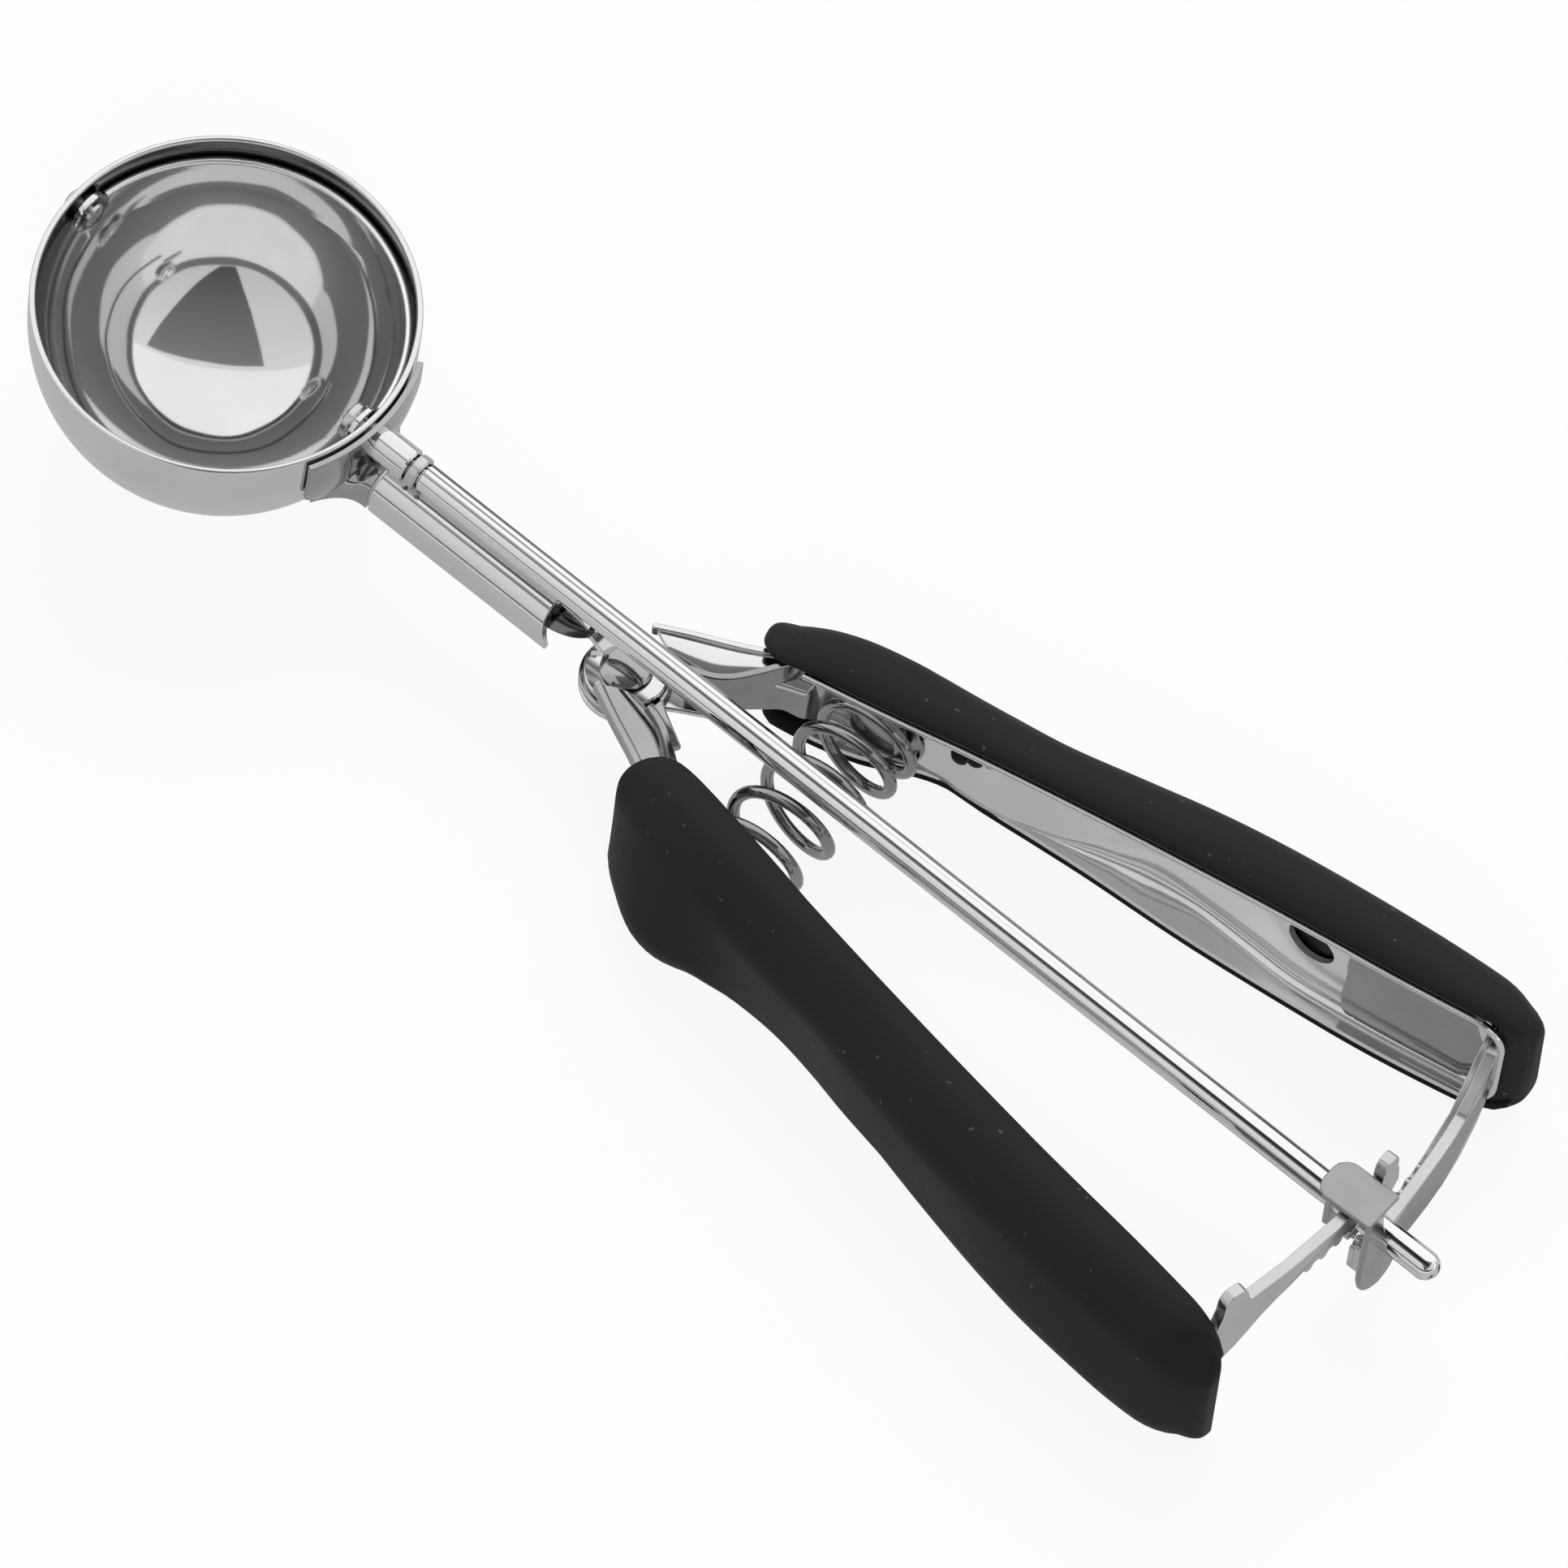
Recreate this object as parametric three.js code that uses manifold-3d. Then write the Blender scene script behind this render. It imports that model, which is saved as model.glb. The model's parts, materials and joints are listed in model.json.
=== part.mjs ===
// Ice cream scoop with two squeeze handles, a rack and pinion drive and a sweeping wiper blade.
// Millimetres, +Z up. The scoop lies on the plane z = 0, bowl open to the top, handles towards +X.
import * as THREE from "three";
import { mergeVertices } from "three/addons/utils/BufferGeometryUtils.js";
import Module from "manifold-3d";

// Bowl and wiper
const BOWL_RADIUS = 25;
const BOWL_SHEET = 0.8;
const AXIS_DROP = 4.05; // rod axis below the rim
const WIPER_WIDTH = 6;
const WIPER_SHEET = 0.6;
const WIPER_GAP = 0.5;

// Rod and its bearings
const HEAD_TILT = 0.0634; // slope of the rod against the handles, radians
const ROD_RADIUS = 1.9;
const JOURNAL_RADIUS = 1.6;
const ROD_BEHIND_RACK = 11; // free pin behind the rack arms
const BUSH_LENGTH = 7.4;
const RING_LENGTH = 1.6;

// Collar and shank
const COLLAR_SHEET = 0.8;
const COLLAR_HEIGHT = 12;
const COLLAR_HALF_ANGLE = 0.43;
const SHANK_HALF_WIDTH = 4.5;
const SHANK_HEIGHT = 6;
const SHANK_SHEET = 0.9;
const SHANK_END = 55;

// Pivot
const PIVOT_X = 67.2;
const PIVOT_STEM = 1.8;
const EAR_RADIUS = 6;
const EAR_SHEET = 1;
const TONGUE_BOTTOM = 12.2;
const STACK_GAP = 0.3;

// Handles
const HANDLE_HEIGHT = 22.6;
const GRIP_FRONT = 78.7;
const GRIP_REAR = 188.2;
const GRIP_END = 1.2; // rubber behind the channel
const GRIP_WALL = 1.8;
const GRIP_LIP = 1.6;
const CORNER = 6.5;
const REAR_ROUND = 5;
const FRONT_ROUND = 2.5;
const CORE_FRONT = 87;
const CORE_SHEET = 0.9;
const NECK_SHEET = 1;
const NECK_TOP = 16.6;
const NECK_BOTTOM = 9.4;
const WINDOW_X = 154.5; // oval window in the channel's web
const WINDOW_Z = 6;
const WINDOW_LENGTH = 8.4;
const WINDOW_HEIGHT = 6;

// Racks and pinion
const RACK_INSET = 1.4; // rack arms in front of the rear ends of the grips
const RACK_BACK = 0.8; // smooth strip behind the teeth of the lower arm
const RACK_SHEET = 1.6;
const RACK_TIP = 4.05; // tooth tips from the rod axis
const TOOTH_PITCH = 2.6;
const TOOTH_HEIGHT = 1;
const PINION_TIP = 3.6;
const PINION_TEETH = 8;

// Spring
const SPRING_X = 95.6;
const SPRING_Z = 10.2;
const SPRING_RADIUS = 6.4;
const SPRING_WIRE = 1.3;
const SPRING_TURNS = 6;
const SEAT_Y = 16.6;

const GAP = 0.3;
const wasm = await Module();
wasm.setup();

// Colours and finishes
const polishedSteel = { color: 0xc9cacc, metalness: 1, roughness: 0.12 };
const brushedSteel = { color: 0xb4b5b6, metalness: 1, roughness: 0.34 };
const springSteel = { color: 0x8d8f90, metalness: 1, roughness: 0.25 };
const rubber = { color: 0x1d1e1f, metalness: 0, roughness: 0.62 };

function solid(geometry) {
  const bare = new THREE.BufferGeometry();
  const loose = geometry.index ? geometry.toNonIndexed() : geometry;
  bare.setAttribute("position", loose.getAttribute("position").clone());
  const merged = mergeVertices(bare, 1e-4);
  const corners = merged.index.array;
  const kept = [];
  for (let i = 0; i < corners.length; i += 3) {
    const [a, b, c] = [corners[i], corners[i + 1], corners[i + 2]];
    if (a !== b && b !== c && c !== a) {
      kept.push(a, b, c);
    }
  }
  const mesh = new wasm.Mesh({
    numProp: 3,
    vertProperties: new Float32Array(merged.getAttribute("position").array),
    triVerts: new Uint32Array(kept),
  });
  return new wasm.Manifold(mesh);
}

function surface(manifold) {
  const mesh = manifold.getMesh();
  const geometry = new THREE.BufferGeometry();
  geometry.setAttribute("position", new THREE.BufferAttribute(mesh.vertProperties, 3));
  geometry.setIndex(new THREE.BufferAttribute(mesh.triVerts, 1));
  const flat = geometry.toNonIndexed();
  flat.computeVertexNormals();
  return flat;
}

function join(...pieces) {
  return pieces.map(solid).reduce((sum, piece) => sum.add(piece));
}

function piece(name, shape, look) {
  const geometry = shape.isBufferGeometry ? shape : surface(shape);
  const mesh = new THREE.Mesh(geometry, new THREE.MeshStandardMaterial(look));
  mesh.name = name;
  return mesh;
}

// Round bars along X, Y and Z
function barX(radius, from, to, sides = 24) {
  return new THREE.CylinderGeometry(radius, radius, to - from, sides)
    .rotateZ(Math.PI / 2)
    .translate((from + to) / 2, 0, 0);
}

function barY(radius, from, to, sides = 24) {
  return new THREE.CylinderGeometry(radius, radius, to - from, sides)
    .translate(0, (from + to) / 2, 0);
}

function barZ(radius, from, to, sides = 28) {
  return new THREE.CylinderGeometry(radius, radius, to - from, sides)
    .rotateX(Math.PI / 2)
    .translate(0, 0, (from + to) / 2);
}

function outline(points) {
  return new THREE.Shape(points.map(([x, y]) => new THREE.Vector2(x, y)));
}

// A plan outline raised from one level to another
function plateZ(points, from, to) {
  const flat = { depth: to - from, bevelEnabled: false, curveSegments: 12 };
  return new THREE.ExtrudeGeometry(outline(points), flat).translate(0, 0, from);
}

// A (y, z) outline drawn out along X
function sectionX(points, from, to) {
  const flat = { depth: to - from, bevelEnabled: false };
  const turn = new THREE.Matrix4().makeBasis(
    new THREE.Vector3(0, 1, 0),
    new THREE.Vector3(0, 0, 1),
    new THREE.Vector3(1, 0, 0),
  );
  return new THREE.ExtrudeGeometry(outline(points), flat).applyMatrix4(turn).translate(from, 0, 0);
}

// An (x, z) outline drawn out along Y
function sectionY(points, from, to) {
  const flat = { depth: to - from, bevelEnabled: false };
  const turn = new THREE.Matrix4().makeBasis(
    new THREE.Vector3(1, 0, 0),
    new THREE.Vector3(0, 0, 1),
    new THREE.Vector3(0, -1, 0),
  );
  return new THREE.ExtrudeGeometry(outline(points), flat).applyMatrix4(turn).translate(0, to, 0);
}

// A strip of even thickness along a plan line
function strip(line, thickness) {
  const left = [];
  const right = [];
  line.forEach(([x, y], i) => {
    const [ax, ay] = line[Math.max(i - 1, 0)];
    const [bx, by] = line[Math.min(i + 1, line.length - 1)];
    const length = Math.hypot(bx - ax, by - ay);
    const nx = (-(by - ay) / length) * thickness * 0.5;
    const ny = ((bx - ax) / length) * thickness * 0.5;
    left.push([x + nx, y + ny]);
    right.push([x - nx, y - ny]);
  });
  return right.concat(left.reverse());
}

function turned(profile, sides) {
  const points = profile.map(([r, z]) => new THREE.Vector2(r, z));
  return new THREE.LatheGeometry(points, sides).rotateX(Math.PI / 2);
}

function arc(centre, radius, from, to, steps) {
  const points = [];
  for (let i = 0; i <= steps; i += 1) {
    const a = from + ((to - from) * i) / steps;
    points.push([centre[0] + radius * Math.cos(a), centre[1] + radius * Math.sin(a)]);
  }
  return points;
}

const quarter = Math.PI / 2;

// The head: bowl, collar, bush, rod and wiper, drawn with the rim at z = 0 and the rod along X
const head = new THREE.Group();
head.rotation.y = HEAD_TILT;
head.position.z = BOWL_RADIUS + AXIS_DROP * Math.cos(HEAD_TILT);

function axisHeight(x) {
  return BOWL_RADIUS - Math.tan(HEAD_TILT) * (x + AXIS_DROP * Math.sin(HEAD_TILT));
}

function toHead(x) {
  return (x + AXIS_DROP * Math.sin(HEAD_TILT)) / Math.cos(HEAD_TILT);
}

const axis = -AXIS_DROP;
const inner = BOWL_RADIUS - BOWL_SHEET;
const bushRadius = ROD_RADIUS + 0.45;
const rackRadius = GRIP_REAR - RACK_INSET - PIVOT_X;
const rearPlane = PIVOT_X + rackRadius;

const bowlProfile = [
  ...arc([0, axis], BOWL_RADIUS, -quarter, 0, 12),
  [BOWL_RADIUS, 0],
  [inner, 0],
  ...arc([0, axis], inner, 0, -quarter, 12),
];
bowlProfile[0][0] = 0;
bowlProfile[bowlProfile.length - 1][0] = 0;
const farPinRadius = 1.1;
const bowl = solid(turned(bowlProfile, 48))
  .subtract(solid(barX(bushRadius + GAP, inner - 4, BOWL_RADIUS + 4).translate(0, 0, axis)))
  .subtract(solid(barX(farPinRadius + GAP, -BOWL_RADIUS - 3, 3 - inner, 16).translate(0, 0, axis)));
head.add(piece("bowl", bowl, polishedSteel));

// Wiper blade: half a spherical band with a round tab at each end
const wiperOuter = inner - WIPER_GAP;
const wiperInner = wiperOuter - WIPER_SHEET;
const wiperAngle = WIPER_WIDTH / wiperOuter;
const band = [
  ...arc([0, 0], wiperOuter, -wiperAngle, 0, 3),
  ...arc([0, 0], wiperInner, 0, -wiperAngle, 3),
];
band.push(band[0]);
const half = plateZ([[-40, 0], [40, 0], [40, 40], [-40, 40]], -20, 20);
const tabRadius = 3;
const tabOuter = Math.sqrt(wiperOuter ** 2 - tabRadius ** 2);
const tabInner = tabOuter - 0.9;
const nearHole = barX(JOURNAL_RADIUS + GAP, tabInner - 3, tabOuter + 3);
const farHole = barX(farPinRadius + GAP, -tabOuter - 3, 3 - tabInner, 16);
const wiper = solid(turned(band, 64))
  .intersect(solid(half))
  .add(solid(barX(tabRadius, tabInner, tabOuter)))
  .add(solid(barX(tabRadius, -tabOuter, -tabInner)))
  .subtract(solid(nearHole))
  .subtract(solid(farHole));
const wiperMesh = piece("wiper_blade", wiper, polishedSteel);
wiperMesh.position.z = axis;
head.add(wiperMesh);

const farPin = join(
  barX(2, -BOWL_RADIUS - GAP - 1, -BOWL_RADIUS - GAP, 20),
  barX(farPinRadius, -BOWL_RADIUS - GAP, -tabInner + GAP, 16),
  barX(1.9, -tabInner + GAP, -tabInner + GAP + 0.7, 20),
);
const farPinMesh = piece("wiper_far_pin", farPin, brushedSteel);
farPinMesh.position.z = axis;
head.add(farPinMesh);

// Rod with its thinner front journal and domed rear end
const journalFront = tabInner - 2;
const bushFront = inner - 0.1;
const bushRear = bushFront + BUSH_LENGTH;
const ringFront = bushRear + GAP;
const ringRear = ringFront + RING_LENGTH;
const rodStart = ringRear + GAP;
const rodEnd = toHead(rearPlane + ROD_BEHIND_RACK);
const dome = arc([rodEnd - ROD_RADIUS, 0], ROD_RADIUS, quarter, 0, 5);
const rodProfile = [
  [0, journalFront],
  [JOURNAL_RADIUS, journalFront],
  [JOURNAL_RADIUS, rodStart],
  [ROD_RADIUS, rodStart],
  ...dome.map(([x, r]) => [r, x]),
];
rodProfile[rodProfile.length - 1][0] = 0;
const rodMesh = piece("rod", turned(rodProfile, 24).rotateY(quarter), polishedSteel);
rodMesh.position.z = axis;
head.add(rodMesh);

function sleeve(outer, bore, from, to) {
  const profile = [[bore, from], [outer, from], [outer, to], [bore, to], [bore, from]];
  return turned(profile, 28).rotateY(quarter);
}

const collars = [
  ["front_bush", bushRadius, JOURNAL_RADIUS + 0.25, bushFront, bushRear, brushedSteel],
  ["rod_stop_ring", bushRadius - 0.05, JOURNAL_RADIUS + 0.2, ringFront, ringRear, brushedSteel],
  ["wiper_hub", 2.6, JOURNAL_RADIUS + 0.2, journalFront + 0.4, tabInner - GAP, brushedSteel],
];
collars.forEach(([name, outer, bore, from, to, look]) => {
  const mesh = piece(name, sleeve(outer, bore, from, to), look);
  mesh.position.z = axis;
  head.add(mesh);
});

// Pinion: straight teeth round the rod between the racks
const pinionPoints = [];
for (let i = 0; i < PINION_TEETH; i += 1) {
  const step = (2 * Math.PI) / PINION_TEETH;
  [[0.1, 0], [0.2, 1], [0.45, 1], [0.55, 0]].forEach(([turn, out]) => {
    const r = PINION_TIP - (1 - out) * TOOTH_HEIGHT;
    const a = (i + turn) * step;
    pinionPoints.push([r * Math.cos(a), r * Math.sin(a)]);
  });
}
const pinionFront = toHead(rearPlane) - 2.2;
const pinionRear = toHead(rearPlane) - GAP; // clear of the smooth strip of the lower arm
const pinion = solid(sectionX(pinionPoints, pinionFront, pinionRear))
  .subtract(solid(barX(ROD_RADIUS + 0.15, pinionFront - 2, pinionRear + 2)));
const pinionMesh = piece("pinion", pinion, brushedSteel);
pinionMesh.position.z = axis;
head.add(pinionMesh);

// Collar: two wings on the bowl's wall, drawn together to the width of the shank
const collarInner = BOWL_RADIUS + GAP;
const collarOuter = collarInner + COLLAR_SHEET;
const collarDrop = COLLAR_HEIGHT - AXIS_DROP;
const collarLow = -Math.asin(collarDrop / BOWL_RADIUS);
const wingProfile = [
  ...arc([0, axis], collarOuter, collarLow, 0, 4),
  [collarOuter, -0.6],
  [collarInner, -0.6],
  ...arc([0, axis], collarInner, 0, collarLow, 4),
];
wingProfile.push(wingProfile[0]);
const wedgeLength = 2 * BOWL_RADIUS;
const wedge = [
  [0, 0],
  [wedgeLength * Math.cos(COLLAR_HALF_ANGLE), -wedgeLength * Math.sin(COLLAR_HALF_ANGLE)],
  [wedgeLength * Math.cos(COLLAR_HALF_ANGLE), wedgeLength * Math.sin(COLLAR_HALF_ANGLE)],
];
const shankFront = collarOuter + 2.6;
const shankTop = axis - ROD_RADIUS - 0.7;
const shankLow = shankTop - SHANK_HEIGHT;
const wingSide = BOWL_RADIUS * Math.sin(COLLAR_HALF_ANGLE);
const wingEnd = BOWL_RADIUS * Math.cos(COLLAR_HALF_ANGLE);
const saddle = [
  [wingEnd - 2, -wingSide * 0.8],
  [collarOuter - 1, -SHANK_HALF_WIDTH - 1.6],
  [collarOuter + 0.8, -SHANK_HALF_WIDTH - 0.3],
  [shankFront - GAP, -SHANK_HALF_WIDTH],
  [shankFront - GAP, SHANK_HALF_WIDTH],
  [collarOuter + 0.8, SHANK_HALF_WIDTH + 0.3],
  [collarOuter - 1, SHANK_HALF_WIDTH + 1.6],
  [wingEnd - 2, wingSide * 0.8],
];
const ballRoom = turned([
  [0, axis - collarInner],
  ...arc([0, axis], collarInner, -quarter, 0, 14).slice(1),
  [collarInner, 5],
  [0, 5],
], 72);
const bushRoom = barX(bushRadius + GAP, inner - 4, shankFront + 4).translate(0, 0, axis);
const collar = solid(turned(wingProfile, 96))
  .intersect(solid(plateZ(wedge, -40, 10)))
  .add(solid(plateZ(saddle, shankLow + 0.6, shankTop)))
  .subtract(solid(ballRoom))
  .subtract(solid(bushRoom));
head.add(piece("collar", collar, polishedSteel));

const body = new THREE.Group();
body.add(head);

// Shank: an arched channel under the rod that flattens into the tongue at the pivot
const archOut = [
  [-SHANK_HALF_WIDTH, shankLow],
  ...arc([0, shankTop - 2.6], 1, Math.PI, 0, 8).map(([y, z]) => [
    y * SHANK_HALF_WIDTH,
    shankTop - 2.6 + (z - shankTop + 2.6) * 2.6,
  ]),
  [SHANK_HALF_WIDTH, shankLow],
];
const archIn = archOut.map(([y, z]) => [
  y * (1 - SHANK_SHEET / SHANK_HALF_WIDTH),
  z === shankLow ? z : z - SHANK_SHEET,
]);
const arch = archOut.concat(archIn.reverse()).reverse();
const headMatrix = new THREE.Matrix4().makeRotationY(HEAD_TILT).setPosition(0, 0, head.position.z);
const channel = sectionX(arch, shankFront, toHead(SHANK_END)).applyMatrix4(headMatrix);
const crown = axisHeight(SHANK_END) + AXIS_DROP + shankTop - 0.15;
const tongueTop = TONGUE_BOTTOM + EAR_SHEET;
const bend = [
  [SHANK_END - 3, crown - SHANK_SHEET - 1],
  [SHANK_END, crown - SHANK_SHEET - 1.2],
  [SHANK_END + 2.4, TONGUE_BOTTOM + 2.4],
  [SHANK_END + 5, TONGUE_BOTTOM],
  [PIVOT_X, TONGUE_BOTTOM],
  [PIVOT_X, tongueTop],
  [SHANK_END + 5.4, tongueTop],
  [SHANK_END + 3.2, TONGUE_BOTTOM + 3.2],
  [SHANK_END + 0.8, crown - 1.1],
  [SHANK_END - 3, crown - 0.9],
];
const stemHole = barZ(PIVOT_STEM + GAP, -5, 40).translate(PIVOT_X, 0, 0);
const shank = join(
  channel,
  sectionY(bend, 0.2, 3.8),
  barZ(EAR_RADIUS - 0.6, TONGUE_BOTTOM, tongueTop).translate(PIVOT_X, 0, 0),
).subtract(solid(stemHole));
body.add(piece("shank", shank, polishedSteel));

// Pivot stack below the tongue: left ear, right ear, washer, rivet foot
const leftEar = TONGUE_BOTTOM - STACK_GAP - EAR_SHEET;
const rightEar = leftEar - STACK_GAP - EAR_SHEET;
const washerBottom = rightEar - STACK_GAP - 0.9;
const footBottom = washerBottom - STACK_GAP - 1.1;
const rivetHead = turned([
  [0, tongueTop + GAP],
  [3.4, tongueTop + GAP],
  [3.1, tongueTop + GAP + 0.6],
  [2.1, tongueTop + GAP + 1.15],
  [0.9, tongueTop + GAP + 1.4],
  [0, tongueTop + GAP + 1.45],
], 28);
const rivet = join(rivetHead, barZ(PIVOT_STEM, footBottom - 0.2, tongueTop + 0.6));
const rivetMesh = piece("pivot_rivet", rivet, polishedSteel);
rivetMesh.position.x = PIVOT_X;
body.add(rivetMesh);
[
  ["pivot_washer", 4.6, washerBottom, washerBottom + 0.9],
  ["pivot_rivet_foot", 3.4, footBottom, footBottom + 1.1],
].forEach(([name, radius, from, to]) => {
  const bore = PIVOT_STEM + 0.2;
  const mesh = piece(
    name,
    turned([[bore, from], [radius, from], [radius, to], [bore, to], [bore, from]], 28),
    brushedSteel,
  );
  mesh.position.x = PIVOT_X;
  body.add(mesh);
});

// Smooth line through a few (x, value) points
function through(points) {
  const xs = new Float32Array(points.map(([x]) => x));
  const values = new Float32Array(points.map(([, v]) => v));
  const line = new THREE.CubicInterpolant(xs, values, 1, new Float32Array(1));
  return (x) => line.evaluate(Math.min(Math.max(x, xs[0]), xs[xs.length - 1]))[0];
}

// Plan of the right handle: inner edge of the top and bottom lips, outside of the wall above and below
const lipLine = through([
  [78.7, 13.7], [79.2, 12.9], [80, 12], [81.2, 11.1], [83, 10.6], [85.5, 10.8], [90, 11.7], [96, 12.9],
  [103, 14.4], [110, 16], [130, 19.5], [150, 22.4], [170, 25.5], [182, 27.8], [186, 28.8], [187.8, 29.5],
  [189, 30.2],
]);
const lowLipLine = through([
  [78.7, 13.9], [80, 13.2], [81.2, 12.8], [88, 14], [94, 15.8], [99, 18.4], [104, 20.2], [111, 20.6],
  [118, 21.2], [126, 21.8], [142, 22.6], [160, 24.3], [170, 25.6], [182, 27.8], [186, 28.8], [187.8, 29.5],
  [189, 30.2],
]);
const outTopLine = through([
  [78.7, 15.6], [79.2, 16.6], [80.2, 17.8], [82, 19], [84.5, 20.4], [88, 21.6], [92, 22.8], [97, 23.6],
  [104, 24.2], [111, 25], [118.4, 26.1], [128, 28.5], [138, 31], [148, 32.9], [159, 34.4], [170, 35.2],
  [178, 35.4], [183, 34.9], [186, 33.9], [188, 32.9], [189, 32.2],
]);
const outLowLine = through([
  [78.7, 15.8], [80.2, 17.9], [82.6, 20], [88.7, 24.1], [93, 25.3], [97, 24.9], [100, 23.9], [104, 22.8],
  [111, 23.2], [118, 24.8], [126, 27.2], [142, 31.4], [158, 35], [172, 36.7], [178, 36.5], [182, 35.6],
  [185, 34.2], [187.5, 32.8], [189, 32],
]);

// How far the ends of the grip are rounded off at x, from 0 to 1
function rounding(part) {
  return 1 - Math.sqrt(1 - Math.min(Math.max(part, 0), 1) ** 2);
}

function endShrink(x) {
  const rear = rounding((x - GRIP_REAR + REAR_ROUND) / REAR_ROUND);
  const front = rounding((GRIP_FRONT + FRONT_ROUND - x) / FRONT_ROUND);
  return Math.max(rear, 0.5 * front);
}

// One cross-section of the handle, set in by a wall at the side and by a lip above and below
const CORNER_STEPS = 4;
function handleSection(x, side, lip, open, shrink) {
  const z0 = lip + shrink * 3.8;
  const z1 = HANDLE_HEIGHT - lip - shrink * 2.8;
  const y0 = lipLine(x) + shrink * 0.2;
  const outTop = outTopLine(x) - side - shrink * 0.2;
  const outLow = outLowLine(x) - side - shrink * 0.2;
  const corner = Math.max(1, Math.min(CORNER, outLowLine(x) - lowLipLine(x) - 0.4));
  const rTop = Math.min(CORNER - side, outTop - y0 - 0.3, (z1 - z0) / 2 - 0.5);
  const rLow = Math.max(0.3, Math.min(corner - side, (z1 - z0) / 2 - 0.5));
  const edge = open > 1 ? y0 - open : lowLipLine(x) + shrink * 0.2 - open;
  const inLow = Math.min(edge, outLow - rLow - 0.3);
  const points = [[inLow, z0]];
  points.push(...arc([outLow - rLow, z0 + rLow], rLow, -quarter, 0, CORNER_STEPS));
  points.push(...arc([outTop - rTop, z1 - rTop], rTop, 0, quarter, CORNER_STEPS));
  points.push([y0 - open, z1]);
  return points.map(([y, z]) => new THREE.Vector3(x, y, z));
}

// A closed body through a row of sections
function throughSections(sections) {
  const count = sections[0].length;
  const steps = sections.length - 1;
  const tube = new THREE.CylinderGeometry(1, 1, 1, count, steps);
  const spots = tube.getAttribute("position");
  for (let i = 0; i < spots.count; i += 1) {
    const row = sections[Math.round((spots.getY(i) + 0.5) * steps)];
    const [a, b] = [spots.getX(i), spots.getZ(i)];
    const spot = new THREE.Vector3();
    if (Math.hypot(a, b) < 0.5) {
      row.forEach((p) => spot.addScaledVector(p, 1 / count));
    } else {
      const turn = Math.atan2(a, b) / (2 * Math.PI);
      spot.copy(row[(Math.round(turn * count) + count) % count]);
    }
    spots.setXYZ(i, spot.x, spot.y, spot.z);
  }
  return tube;
}

const STATIONS = 18;
function handleBody(from, to, side, lip, open, rounded) {
  const places = [from, to, CORE_FRONT, coreRear];
  for (let i = 0; i <= STATIONS; i += 1) {
    places.push(GRIP_FRONT + ((GRIP_REAR - GRIP_FRONT) * i) / STATIONS);
  }
  if (rounded) {
    places.push(from + 0.3, from + 0.9, from + 1.9, from + 3.4, to - 0.4, to - 1.1, to - 2.2, to - 3.4);
  }
  const kept = [...new Set(places)].filter((x) => x >= from && x <= to).sort((a, b) => a - b);
  return throughSections(
    kept.map((x) => handleSection(x, side, lip, open, rounded ? endShrink(x) : 0)),
  );
}

const coreSide = GRIP_WALL + GAP;
const coreLip = GRIP_LIP + GAP;
const coreRear = GRIP_REAR - GRIP_END - GAP;
const grip = solid(handleBody(GRIP_FRONT, GRIP_REAR, 0, 0, 0, true))
  .subtract(solid(handleBody(GRIP_FRONT - 2, GRIP_REAR - GRIP_END, GRIP_WALL, GRIP_LIP, 4, false)));

const coreOutside = solid(handleBody(CORE_FRONT, coreRear, coreSide, coreLip, 0.5, false));

function coreChannel() {
  const hollow = handleBody(
    CORE_FRONT - 2,
    coreRear - CORE_SHEET,
    coreSide + CORE_SHEET,
    coreLip + CORE_SHEET,
    4,
    false,
  );
  const oblong = new THREE.CylinderGeometry(0.5, 0.5, 12, 24).scale(WINDOW_LENGTH, 1, WINDOW_HEIGHT);
  oblong.translate(WINDOW_X, outLowLine(WINDOW_X) - coreSide, WINDOW_Z);
  return coreOutside.subtract(solid(hollow)).subtract(solid(oblong));
}

// Neck: an upright sheet with a top plate, and the ear on the pivot
const neckLine = [[73.9, 2.9], [77.6, 4.4], [82.4, 8.8], [85.6, 12], [87.2, 15.6], [90, 21]];
const neckBend = [[84.6, 11], [85.6, 12], [87.2, 15.6], [90, 21]];
const neckPlate = [
  ...arc([PIVOT_X, 0], 5.2, 1.75, 0.45, 6),
  [77.6, 4.2],
  [82.4, 8.6],
  [85.6, 11.8],
  [87.2, 15.6],
  [90, 20.5],
  [88.2, 18.2],
  [77.9, 11.6],
  [70.8, 8.2],
  [66.8, 6],
].reverse();

function neck() {
  const sheet = solid(plateZ(strip(neckLine, NECK_SHEET), NECK_BOTTOM, NECK_TOP));
  const bend = solid(plateZ(strip(neckBend, NECK_SHEET), coreLip, HANDLE_HEIGHT - coreLip));
  const plate = sheet.add(bend).add(solid(plateZ(neckPlate, NECK_TOP - NECK_SHEET, NECK_TOP)));
  const rear = plateZ([[CORE_FRONT + 0.2, -5], [120, -5], [120, 40], [CORE_FRONT + 0.2, 40]], 0, 30);
  return plate.subtract(solid(rear)).add(plate.intersect(coreOutside));
}

function core(earBottom) {
  const earTop = earBottom + EAR_SHEET;
  const link = strip([[PIVOT_X + 2, 0.3], [73.4, 3], [78, 5.6]], 5);
  return coreChannel()
    .add(neck())
    .add(solid(barZ(EAR_RADIUS, earBottom, earTop).translate(PIVOT_X, 0, 0)))
    .add(solid(plateZ(link, earBottom, earTop)))
    .subtract(solid(stemHole));
}

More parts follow.
